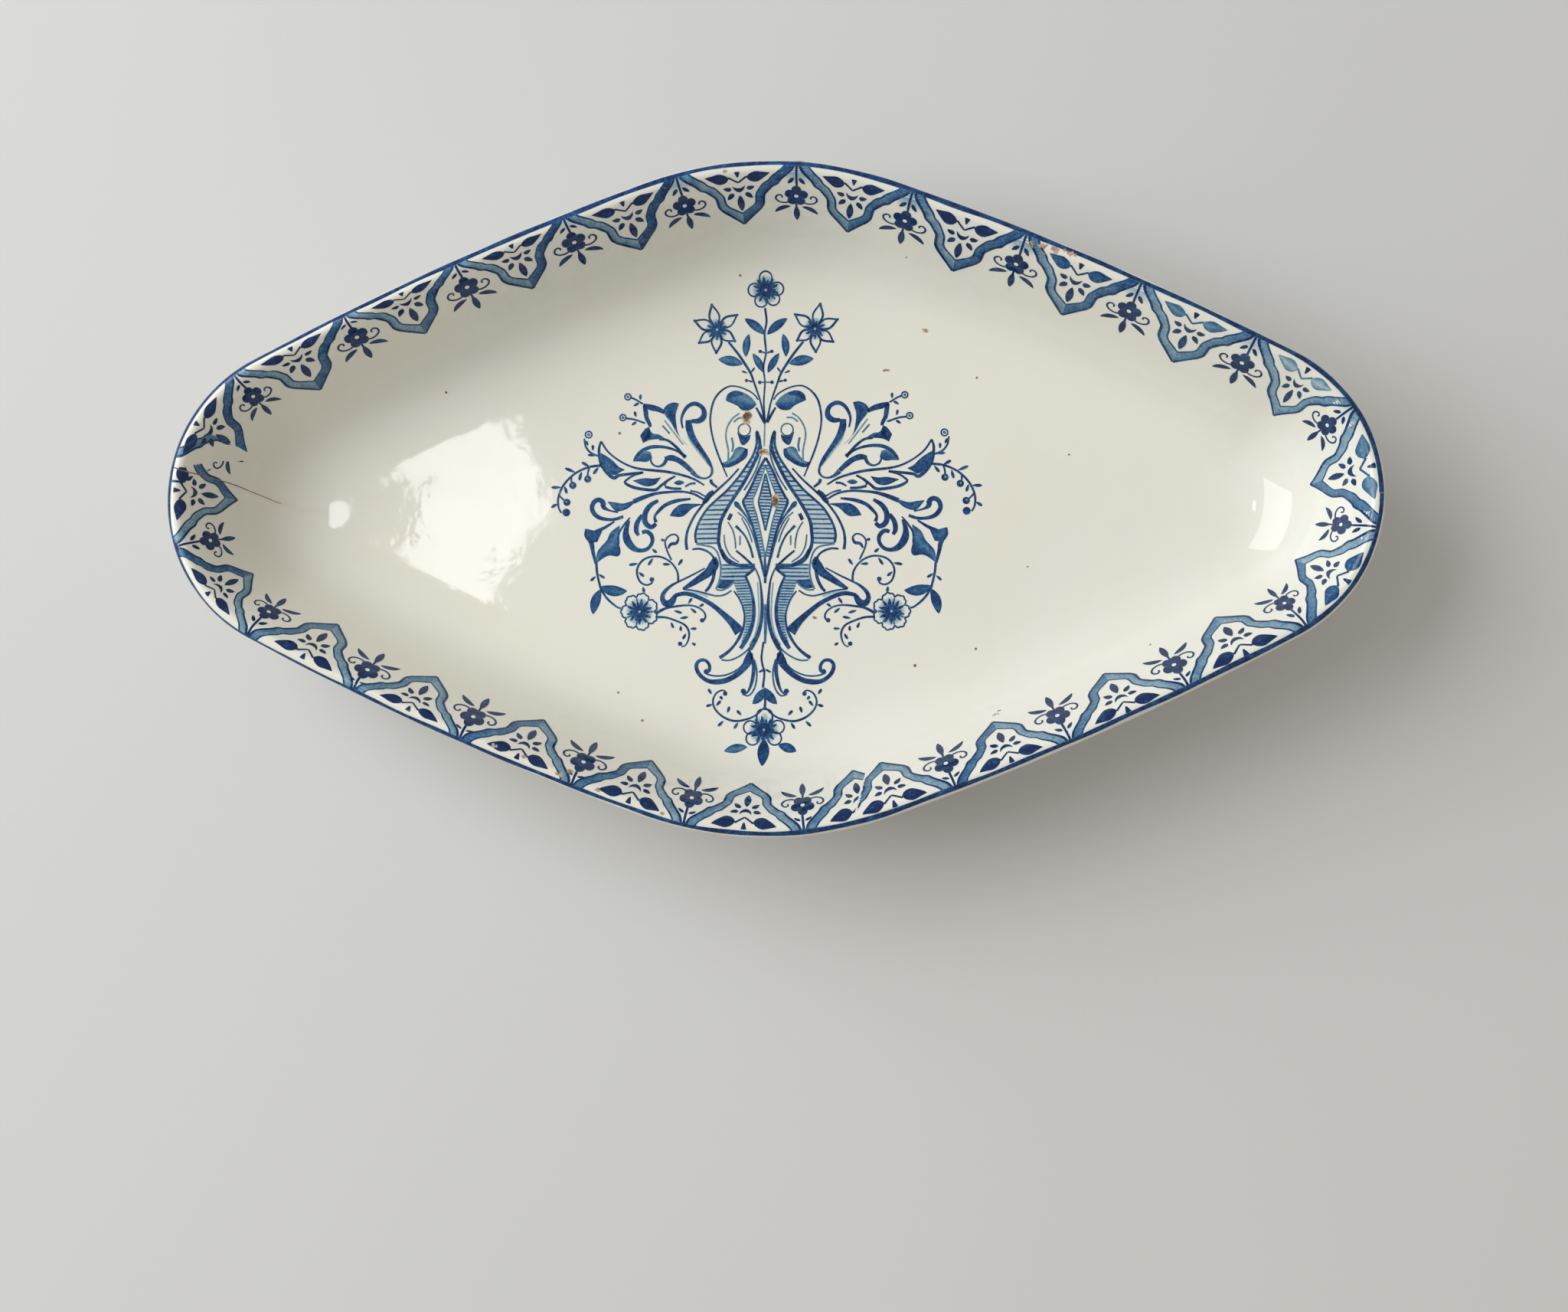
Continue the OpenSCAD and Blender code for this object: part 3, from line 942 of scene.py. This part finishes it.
def upper_leaves(pen):
    pen.between((180, 217, 186, 196, 184, 174, 181, 159, 173, 145, 159, 131),
                (190, 220, 206, 213, 209, 198, 195, 179, 181, 155, 159, 131), (0.9, 0.95, 0.75))
    pen.brush((180, 217, 4, 191, 219, 4, 204, 213, 4, 211, 201, 5))
    pen.brush((209, 201, 6, 223, 208, 9, 238, 212, 10, 253, 217, 5))
    pen.brush((251, 216, 5, 248, 204, 8, 246, 190, 7, 240, 178, 6, 238, 171, 4))
    pen.between((200, 142, 220, 155, 234, 158, 241, 171), (200, 142, 220, 146, 240, 144, 253, 138),
                (0.75, 0.85, 0.95))
    pen.between((241, 171, 249, 167, 259, 153), (236, 150, 244, 146, 253, 138), (0.95, 0.95))
    pen.brush((220, 146, 4, 202, 143, 4, 184, 129, 4.5, 172, 115, 5, 165, 107, 6))
    pen.stroke((213, 174, 198, 157), 2.4, 0.7)
    pen.stroke((209, 185, 190, 160, 170, 134), 2, 0.45)
    pen.brush((165, 109, 6, 179, 119, 3.5, 195, 126, 4, 216, 130, 5, 238, 129, 6, 256, 121, 6, 267, 109, 5,
               272, 100, 3))
    pen.between((237, 119, 253, 122, 265, 110, 272, 100), (234, 106, 245, 99, 258, 100, 272, 100),
                (0.5, 0.8, 0.95))
    pen.brush((238, 105, 3, 233, 94, 3, 222, 89, 3, 211, 93, 5, 205, 102, 6), 0.85)
    for end, bud, ticks in (((254, 219), (285, 234), (259, 239, 259, 227, 262, 221, 273, 215)),
                            ((249, 179), (295, 191), (271, 204, 268, 192, 267, 182, 277, 175))):
        middle = ((end[0] + bud[0]) / 2, (end[1] + bud[1]) / 2 + 2)
        pen.stroke((*end, *middle, bud[0] - 7, bud[1] - 2), 2.8)
        pen.berry(bud, 7.5)
        pen.ticks(ticks)


def long_leaf(pen):
    pen.brush((126, 50, 2.4, 148, 63, 3.4, 175, 72, 4, 202, 78, 4.4, 229, 81, 4.4, 256, 84, 3.8,
               279, 90, 3.2, 304, 103, 2.8, 326, 121, 2.8, 340, 142, 3))
    pen.brush((340, 142, 3, 344, 128, 4, 343, 110, 5, 339, 94, 5, 328, 78, 6, 313, 66, 6, 303, 71, 5,
               281, 74, 4.5, 252, 77, 4))
    pen.between((290, 83, 303, 89, 316, 102, 330, 112, 343, 119),
                (290, 83, 300, 78, 313, 72, 330, 86, 343, 110), (0.95, 0.82, 0.95))
    pen.brush((252, 77, 3, 272, 71, 3, 285, 63, 3.4, 290, 56, 4, 274, 47, 5, 250, 42, 5, 227, 41, 5,
               216, 49, 4.5, 202, 60, 4, 186, 69, 3))
    pen.between((215, 67, 231, 64, 250, 65, 274, 60), (215, 67, 228, 52, 248, 49, 274, 60),
                (0.95, 0.85, 0.95))
    pen.stroke((188, 69, 205, 56, 207, 48), 2.4, 0.8)
    pen.stroke((173, 43, 191, 43.5, 207, 47), 4.2, 0.93, (0.8, 1))
    pen.leaf((167, 56), (189, 55), 9, 0.0, (0.9, 0.8))
    pen.stroke((144, 54, 155, 53, 166, 47), 3.4, 0.9, (1, 0.6))
    pen.stroke((121, 25, 139, 35, 155, 39), 2.6, 0.8)
    pen.brush((344, 111, 3, 362, 119, 3, 372, 132, 2.8, 375, 148, 2.4))
    pen.berry((366, 156), 8)
    pen.ticks((357, 135, 357, 123, 368, 114, 348, 113, 372, 144, 367, 133))


def beaded_spray(pen):
    pen.brush((339, 92, 4.5, 364, 89, 3.6, 388, 79, 3.4, 406, 65, 3.4, 420, 47, 3.6, 428, 25, 3.4,
               427, 5, 3, 421, -6, 2.6))
    for x, y, from_x, from_y in ((367, 64, 364, 88), (398, 51, 401, 68), (410, 16, 427, 32)):
        pen.stroke((from_x, from_y, (from_x + x) / 2 + 1.5, (from_y + y) / 2, x, y), 2.8, 0.9)
        pen.dot((x, y), 7.2, 0.92)
        pen.dot((x + 1, y + 1), 2, 0.4, edge=0.85, layer=4)
    pen.dot((411, -5), 7.8, 0.92)
    pen.ticks((356, 74, 345, 88, 385, 61, 380, 79, 410, 34, 415, 49, 380, 99, 364, 90, 415, 87, 393, 78,
               443, 47, 422, 47, 443, 5, 430, 13), 5.5)


def lower_acanthus(pen):
    pen.brush((126, 20, 3, 148, 32, 3.4, 173, 37, 3.6, 202, 36, 4, 227, 33, 5, 250, 26, 7, 272, 17, 8))
    pen.between((266, 21, 292, 13, 308, 15, 325, 17), (266, 18, 286, 2, 308, -2, 325, 16),
                (0.9, 0.75, 0.95))
    pen.brush((304, -5, 2.8, 322, -1, 3, 334, 6, 8, 335, 15, 9, 343, 21, 8, 353, 17, 8, 358, 4, 7.5,
               352, -9, 7.5, 340, -17, 6.5, 322, -20, 5, 308, -19, 5, 293, -14, 5))
    pen.between((129, 11, 152, 12, 173, 11, 188, 1, 197, -13),
                (129, 11, 150, 3, 164, -10, 176, -15, 197, -13), (0.95, 0.85, 0.95))
    pen.brush((154, 22, 3, 183, 18, 6, 205, 10, 6, 218, -1, 5.5, 228, -14, 4, 225, -26, 6))
    pen.brush((221, 19, 5, 238, 8, 8, 248, -9, 9, 247, -27, 9, 235, -36, 8, 225, -29, 6))
    pen.brush((254, -11, 6, 264, -27, 8, 266, -43, 8, 261, -53, 5))
    pen.brush((254, -47, 6, 244, -45, 7, 234, -54, 7, 233, -68, 6, 243, -81, 6, 259, -84, 7, 274, -77, 11,
               285, -61, 13, 287, -43, 9, 281, -22, 4))
    pen.brush((279, -16, 2, 291, -31, 3, 302, -49, 3.5, 303, -71, 4))
    pen.between((303, -65, 298, -86, 304, -96, 320, -94, 333, -99, 349, -111),
                (300, -32, 318, -46, 327, -64, 338, -76, 346, -88, 349, -111), (0.95, 0.85, 0.62, 0.85))
    pen.brush((311, -24, 2.5, 332, -37, 5, 350, -45, 6))
    pen.between((334, -39, 350, -43, 369, -39), (346, -66, 358, -66, 369, -52), (0.95, 0.8, 0.95))
    pen.brush((369, -39, 4, 370, -53, 5, 359, -67, 8, 355, -87, 6, 349, -111, 4))


def flowering_branch(pen):
    pen.brush((348, -110, 4, 346, -131, 3.6, 341, -153, 3.6, 337, -165, 3.6, 324, -184, 3.6, 305, -200, 3,
               296, -203, 3))
    pen.ticks((330, -141, 343, -133, 360, -147, 349, -137))
    pen.leaf((340, -158), (284, -167), 21, 0.08, (0.95, 0.75, 0.95))
    pen.leaf((338, -164), (354, -215), 19, 0.06, (0.95, 0.85, 0.95))
    scalloped_flower(pen, (258, -210), 39)
    pen.brush((224, -213, 5.5, 204, -203, 4, 182, -199, 3.4, 159, -197, 3, 141, -200, 2.6, 127, -209, 2.4,
               122, -220, 2.8, 126, -228, 3))
    pen.dot((129, -228), 4.2)
    pen.brush((225, -221, 4, 204, -222, 3.4, 182, -229, 3, 164, -238, 3, 156, -252, 3.2, 157, -267, 2.6,
               163, -279, 2, 171, -282, 2))
    pen.dot((174, -276), 4.2)
    pen.ticks((150, -182, 158, -194, 126, -194, 135, -200, 141, -213, 153, -203, 170, -213, 187, -208,
               158, -221, 175, -224, 140, -245, 153, -245, 142, -279, 150, -274, 188, -244, 193, -232,
               173, -250, 173, -239, 169, -267, 162, -255))


def tendrils(pen):
    pen.brush((179, -150, 3.4, 179, -136, 3.2, 183, -123, 3, 196, -107, 2.8, 217, -97, 3, 239, -98, 3,
               255, -107, 3.2, 264, -125, 3.2, 259, -146, 3, 246, -155, 2.8, 234, -152, 2.6, 232, -145, 3))
    pen.dot((233, -144), 4.5)
    pen.brush((193, -104, 2.6, 203, -82, 2.6, 206, -66, 2.6, 199, -55, 2.4, 187, -51, 2.4, 179, -58, 2.8,
               183, -69, 5, 194, -71, 5, 200, -80, 3))
    pen.ticks((281, -114, 262, -111, 223, -89, 233, -81, 241, -115, 231, -100, 249, -138, 260, -129,
               249, -171, 251, -159, 170, -102, 179, -115, 211, -112, 195, -113, 215, -62, 206, -64), 5)


STRAP_OUTER = (19, 159, 19, 133, 26, 111, 38, 91, 55, 67, 78, 40, 99, 21, 117, 4, 131, -16, 140, -35,
               144, -53, 142, -69)
STRAP_INNER = (15, 152, 12, 133, 16, 113, 25, 93, 38, 67, 51, 45, 69, 18, 83, -6, 92, -26, 95, -48,
               96, -67, 91, -85, 82, -100)
DIAMOND_OUTER = (0, 106, 8, 92, 17, 74, 28, 49, 40, 26, 45.5, 14, 34, -13, 23.5, -44, 15, -77, 8, -109,
                 1, -138)
DIAMOND_WHITE = (0, 89, 9, 63, 20, 34, 26, 16, 17, -16, 10, -46, 5, -72, 0, -98)
DIAMOND_INNER = (0, 73, 5.5, 52, 10, 32, 14, 15, 9, -6, 4, -26, 0, -44)


def strapwork(pen):
    pen.stroke((55, 84, 75, 62, 99, 40, 117, 23, 131, 7, 148, -17, 160, -44, 163, -66, 161, -83), 3.6,
               0.92, (0.7, 1.3))
    pen.stroke(STRAP_OUTER, 3.8, 0.93, (0.9, 1))
    pen.stroke(STRAP_INNER, 5.5, 0.95)
    pen.stroke((15, 152, 17, 159, 20, 161), 4)
    pen.hatch(STRAP_INNER, STRAP_OUTER, 146, -72, 9.8, 2.6, 0.20)
    pen.stroke((9, 132, 10, 112, 17, 88, 30, 61, 44, 39), 2.6, 0.7)
    pen.stroke(DIAMOND_OUTER, 4.2, 0.93)
    pen.stroke(DIAMOND_WHITE, 2, 0.62)
    pen.stroke(DIAMOND_INNER, 2.8, 0.88)
    pen.hatch(DIAMOND_WHITE, DIAMOND_OUTER, 90, -96, 6.2, 2.4, 0.22)
    pen.brush((63, 16, 3, 59, 10, 9, 52, 2, 5, 39, -15, 3, 30, -32, 2), 0.85)
    for line in ((57, -6, 41, -21, 28, -46, 19, -74, 12, -101), (77, -26, 67, -43, 62, -64, 61, -81),
                 (85, -52, 82, -75, 72, -95, 54, -109), (49, -18, 36, -42, 27, -68), (52, -54, 52, -74)):
        pen.stroke(line, 2.2, 0.7, (0.8, 0.8))
    pen.brush((61, -34, 5, 52, -43, 3.6, 41, -56, 3, 31, -78, 3.4, 25, -100, 3.6), 0.85)
    pen.brush((60, -85, 3.2, 42, -100, 3.6, 22, -119, 4))
    pen.brush((70, -9, 6, 76, -22, 6))
    pen.brush((91, -83, 6, 82, -100, 8, 69, -110, 8, 52, -116, 5.5, 25, -119, 3.5))


WAIST_LEFT = (21, -119, 30, -128, 40, -139, 40, -147)
WAIST_RIGHT = (92, -94, 90, -110, 89, -128, 91, -147)
SHAFT_INNER = (40, -139, 31, -160, 25, -184, 23, -205, 24, -227, 30, -249, 39, -268, 50, -287)
SHAFT_OUTER = (64, -154, 54, -182, 44, -202, 40, -222, 41, -242, 45, -259, 50, -276, 52, -288)


def waist(pen):
    pen.stroke((142, -71, 126, -74, 109, -78, 99, -88, 93, -106, 91, -126, 94, -146, 101, -164), 2.6, 0.6)
    pen.stroke((150, -82, 135, -81, 118, -87, 107, -98, 102, -114), 3.4, 0.9, (0.8, 1.4))
    pen.hatch(WAIST_LEFT, WAIST_RIGHT, -114, -146, 8, 2.8, 0.24)
    pen.stroke((20, -120, 30, -129, 40, -137), 4.5)
    pen.between((63, -145, 78, -145, 92, -144), (74, -158, 87, -163, 98, -161), (0.95, 0.82, 0.95))
    pen.stroke((100, -165, 88, -166, 74, -159, 63, -148), 2.4, 0.6)
    pen.stroke((69, -167, 82, -175, 98, -178, 114, -175, 128, -171, 146, -167, 168, -164), 2.6, 0.85)
    pen.shade((118, -179, 136, -173, 165, -169), 6, 0.35, 0.2, layer=0)


def bracket(pen):
    pen.brush((104, -98, 5, 105, -113, 17, 116, -129, 15, 133, -141, 12, 151, -153, 9, 169, -164, 4))
    pen.brush((124, -121, 2, 152, -136, 2.6, 179, -149, 3, 195, -158, 4.5, 208, -171, 6.5, 211, -183, 8,
               205, -193, 11, 194, -192, 12, 187, -182, 9, 185, -176, 6))
    pen.brush((104, -124, 6, 107, -143, 5, 115, -160, 5, 123, -169, 4))
    pen.brush((186, -177, 6, 168, -173, 7, 152, -175, 7, 132, -183, 7, 112, -194, 7.5, 94, -208, 8.5,
               76, -224, 11, 62, -239, 15, 52, -252, 19), 0.93)


def shaft(pen):
    pen.brush((64, -168, 2.4, 54, -182, 2.6, 46, -200, 2.6, 42, -220, 2.8, 44, -241, 3.6, 51, -260, 5,
               62, -278, 4, 76, -293, 5, 93, -305, 6))
    pen.brush((40, -139, 4, 31, -160, 4, 25, -184, 5, 23, -205, 6, 24, -227, 6, 30, -249, 7, 39, -268, 8,
               50, -286, 6))
    pen.hatch(SHAFT_INNER, SHAFT_OUTER, -146, -274, 5.6, 2.2, 0.26)
    pen.brush((19, -124, 2.4, 11, -146, 2.6, 7.5, -175, 4, 6, -205, 5.5, 8, -230, 6, 14, -256, 6.5,
               24, -276, 8, 30, -288, 6))
    pen.stroke((17, -260, 28, -279, 39, -292, 55, -303, 73, -310, 89, -309), 2.4, 0.75)
    pen.stroke((16, -150, 13.5, -185, 13, -220, 20, -256, 32, -279), 1.6, 0.35)


def volute(pen):
    pen.brush((30, -294, 9, 34, -310, 15, 42, -324, 11, 56, -338, 9, 77, -350, 9, 98, -354, 9, 116, -352, 7,
               131, -342, 6.5, 139, -330, 6.5, 140, -318, 6, 133, -310, 5.5, 122, -310, 5, 114, -319, 5,
               114, -330, 6, 121, -334, 7))
    pen.dot((120, -333), 5)
    pen.stroke((38, -310, 55, -328, 77, -339, 98, -342, 116, -339, 124, -335), 2.4, 0.85)
    pen.brush((33, -288, 4, 26, -305, 4, 23, -323, 6, 24, -341, 6, 28, -359, 5, 34, -373, 3, 41, -378, 3,
               46, -374, 5), 0.92)
    pen.stroke((22, -308, 17, -328, 17, -348, 22, -369, 33, -382, 46, -379), 2.4, 0.8)
    pen.dot((44, -373), 5)
    pen.stroke((12, -334, 2, -329), 3.4, 0.9, (0.6, 1))


def pendant_half(pen):
    pen.leaf((0, -366), (25, -399), 17, -0.06)
    pen.brush((1, -406, 2.2, 14, -419, 2.6, 32, -429, 3, 60, -434, 3.6, 84, -426, 3.4, 101, -410, 3,
               106, -393, 2.8, 99, -377, 2.6, 86, -371, 2.4, 79, -376, 3))
    pen.dot((81, -378), 4.2)
    pen.ticks((57, -412, 48, -422, 72, -404, 76, -417, 90, -392, 99, -403, 92, -383, 86, -390,
               62, -450, 54, -437, 95, -445, 84, -434, 120, -404, 107, -400, 116, -368, 109, -379), 5)


def motif_half(pen):
    for part in (bouquet, inner_scroll, crozier, upper_leaves, long_leaf, beaded_spray, lower_acanthus,
                 flowering_branch, tendrils, strapwork, waist, bracket, shaft, volute, pendant_half):
        part(pen)


def motif_axis(pen):
    """The flowers, stems and leaves that stand on the axis itself."""
    round_flower(pen, (0, 452), (90, 5, -50, -115, 180), 23.5, 13, 16.5)
    pen.brush((-2, 416, 3.6, 1, 388, 3.2, -3, 364, 3, -1, 338, 3, 0, 322, 2.8, -5, 293, 2.4, -2, 262, 2.4,
               -4, 222, 2.4, -2, 176, 4))
    pen.stroke((-12, 262, 12, 262), 2, 0.7)
    pen.stroke((-2, 176, -3, 130), 2, 0.4)
    mirrored = np.reshape(DIAMOND_INNER, (-1, 2)) * (-1, 1)
    pen.hatch(mirrored, DIAMOND_INNER, 66, -38, 6.6, 2.6, 0.20)
    pen.brush((-1, -98, 3, 0, -126, 5, 0, -152, 4), 0.85)
    pen.brush((0, -195, 2.4, 1, -240, 5, 0, -276, 3), 0.7)
    pen.brush((-3, -272, 3, -7, -302, 3, -5, -319, 3, -1, -335, 3, -4, -366, 3.6))
    pen.brush((0, -370, 4, 1, -390, 4, 0, -410, 4))
    round_flower(pen, (-1, -452), (170, 12, -38, -142), 28.5, 13.5, 17.5)
    pen.stroke((-15, -440, -16, -422, -9, -411, 9, -411, 16, -422, 15, -440), 2.8)
    pen.shade((0, -412, 0, -446), 18, 0.0, 0.8, layer=1)
    pen.leaf((0, -472), (-2, -526), 23, 0.0, (0.95, 0.9, 0.95), 0.9)
    pen.leaf((29, -483), (66, -496), 18, 0.03)
    pen.leaf((-34, -487), (-80, -496), 17, -0.03, (0.95, 0.6, 0.75))


def centre_motif():
    pen = Pen(PER_MM)
    for side in (1, -1):
        pen.frame = lambda p, side=side: p * [side * MOTIF_SCALE, MOTIF_SCALE] + MOTIF_AT
        pen.gain = 1.0 if side > 0 else PALER_HALF
        motif_half(pen)
    pen.gain = 1.0
    pen.frame = lambda p: p * MOTIF_SCALE + MOTIF_AT
    motif_axis(pen)
    return pen.lay("centre_motif", well_place, PRINT)


motif_print = centre_motif()

# Wear: a crack at the left end, rust where the glaze is chipped, and specks fired into it.
# Spots on the wall are (along the rim, down the wall, length, height), and in the well
# (x, y, length, height). The crack is (along the rim, down the wall, width).
WALL_SPOTS = ((82.0, -0.1, 1.8, 0.8), (85.0, 0.2, 2.6, 1.0), (87.6, 0.6, 1.6, 0.9), (89.6, 1.1, 0.9, 0.6),
              (87.0, 2.0, 0.7, 0.4), (379.0, 0.6, 1.6, 0.6), (385.2, 0.9, 1.0, 0.6), (393.4, 0.4, 2.2, 0.8),
              (394.8, 1.8, 0.8, 0.9), (401.2, 0.2, 1.1, 0.5), (415.0, 0.3, 1.3, 0.5), (154.0, 0.4, 0.9, 0.5),
              (138.9, -1.9, 1.5, 0.8), (487.6, 18.4, 1.5, 0.35), (488.6, 19.2, 0.9, 0.3))
WELL_SPOTS = ((-2.2, 11.8, 2.4, 1.1), (-5.5, 19.2, 1.1, 1.9), (0.3, 1.7, 1.0, 1.6), (31.2, 36.8, 0.9, 0.7),
              (8.4, -22.4, 0.6, 0.5), (23.1, 28.7, 1.4, 0.5))
SPECKS = ((-32.1, 16.0, 0.35), (41.7, 27.0, 0.28), (-7.0, 48.4, 0.32), (29.0, -32.2, 0.4),
          (41.4, -28.8, 0.3), (-26.7, -43.6, 0.34), (-31.9, -37.8, 0.26), (-68.2, 24.5, 0.3),
          (60.5, 11.0, 0.24), (52.0, -12.0, 0.22))
SPECK_SIZE = 0.75
CRACK = ((284.0, -2.0, 0.20), (284.4, 2.0, 0.15), (284.3, 8.0, 0.14), (284.5, 14.8, 0.17),
         (285.2, 19.0, 0.14), (286.0, 22.5, 0.16), (287.6, 26.6, 0.14))
CRACK_STAIN = (-104.6, 2.4, -101.3, 1.1, -97.7, 0.0, -92.9, -0.2)
SPOT_DOTS = 9
WELL_SEED = 100


def blotch(pen, spot, ink, seed, layer):
    """A ragged spot: a few dots strewn within its length and height."""
    x, y, length, height = spot
    rng = np.random.default_rng(seed)
    for _ in range(SPOT_DOTS):
        at = (x + length * rng.normal(0, 0.24), y + height * rng.normal(0, 0.24))
        pen.dot(at, height * rng.uniform(0.16, 0.42), ink * rng.uniform(0.55, 1.0), layer=layer, sides=9)


def wall_wear():
    pen = Pen()
    for seed, spot in enumerate(WALL_SPOTS):
        blotch(pen, spot, 0.74, seed, 3.1)
    pen.brush(CRACK, MOST_INK, layer=3)
    return pen.lay("rim_wear", wall_place, STAIN)


def well_wear():
    pen = Pen()
    for seed, spot in enumerate(WELL_SPOTS):
        blotch(pen, spot, 0.62, WELL_SEED + seed, 5)
    for x, y, radius in SPECKS:
        pen.dot((x, y), SPECK_SIZE * radius, 0.9, sides=8)
    pen.shade(CRACK_STAIN, 2.2, 0.16, 0.08)
    return pen.lay("well_wear", well_place, STAIN)


rim_spots = wall_wear()
well_spots = well_wear()

PIECES = ((dish, "glazed_body", "dish_body"), (foot, "foot", "foot_ring"),
          (border_print, "printed_decoration", None), (line_print, "printed_decoration", None),
          (motif_print, "printed_decoration", None), (rim_spots, "glazed_body", None),
          (well_spots, "glazed_body", None))

for piece, slot, node in PIECES:
    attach(piece, "root")
    if node:
        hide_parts(node)

# The stage: a plain pale floor, soft light, and a camera where the photograph was taken
FLOOR_HALF = 3.0
FLOOR_GREYS = (0.60, 0.61, 0.62), (0.66, 0.66, 0.66)
WINDOW_COLOUR = (0.965, 0.99, 1.0)
SKY_COLOUR = (1.0, 0.98, 0.95)
ROOM_COLOUR, ROOM_STRENGTH = (1.0, 0.945, 0.84, 1.0), 0.435


def floor_material():
    n = Nodes("pale_floor")
    n.feed(n.shader, {"Base Color": n.mix(n.noise(3, 3), *FLOOR_GREYS), "Roughness": 0.85})
    return n.material


floor_at = FLOOR_HALF / MM
floor_corners = [(x * floor_at, y * floor_at, 0) for x, y in ((-1, -1), (1, -1), (1, 1), (-1, 1))]
floor = new_piece("floor", floor_corners, [[0, 1, 2, 3]], floor_material())


def area_light(name, place, target, size, power, colour=(1, 1, 1), shape="RECTANGLE"):
    data = bpy.data.lights.new(name, "AREA")
    data.shape = shape
    data.size, data.size_y = size
    data.energy = power
    data.color = colour
    lamp = bpy.data.objects.new(name, data)
    bpy.context.scene.collection.objects.link(lamp)
    lamp.location = Vector(place)
    lamp.rotation_mode = "QUATERNION"
    lamp.rotation_quaternion = (Vector(target) - Vector(place)).to_track_quat("-Z", "Y")


area_light("window", (-0.95, 0.36, 0.80), (0, 0, 0), (1.1, 1.1), 15.8, WINDOW_COLOUR)
area_light("sky_soft", (0.3, -0.15, 2.2), (0, 0, 0), (3.2, 3.2), 3.2, SKY_COLOUR)
area_light("glint", (-0.248, 0.117, 0.96), (-0.060, -0.001, 0.010), (0.084, 0.068), 0.118,
           shape="ELLIPSE")

world = bpy.data.worlds.new("soft_room")
world.use_nodes = True
background = world.node_tree.nodes["Background"]
background.inputs["Color"].default_value = ROOM_COLOUR
background.inputs["Strength"].default_value = ROOM_STRENGTH
bpy.context.scene.world = world

# Where the photograph was taken from, in millimetres from the middle of the dish at the height
# of its rim, and how the camera was held
CAMERA_AT = (31.2, -56.6, 446.7)
CAMERA_AXIS = Vector((-0.06156, 0.05592, -0.99654))
CAMERA_UP = Vector((0.00048, 0.99843, 0.05599))
PHOTO_W = 2048
FOCAL_PX = 3000
SENSOR = 36.0


def photo_camera():
    data = bpy.data.cameras.new("photo_camera")
    data.sensor_fit = "HORIZONTAL"
    data.sensor_width = SENSOR
    data.lens = FOCAL_PX / PHOTO_W * SENSOR
    data.clip_start, data.clip_end = 0.01, 20
    camera = bpy.data.objects.new("photo_camera", data)
    bpy.context.scene.collection.objects.link(camera)
    back = -CAMERA_AXIS.normalized()
    right = CAMERA_UP.cross(back).normalized()
    turn = Matrix((right, back.cross(right), back)).transposed().to_4x4()
    x, y, z = CAMERA_AT
    camera.matrix_world = Matrix.Translation(Vector((x, y, z + RIM_TOP)) * MM) @ turn
    bpy.context.scene.camera = camera


photo_camera()
bpy.context.scene.view_settings.view_transform = "Standard"
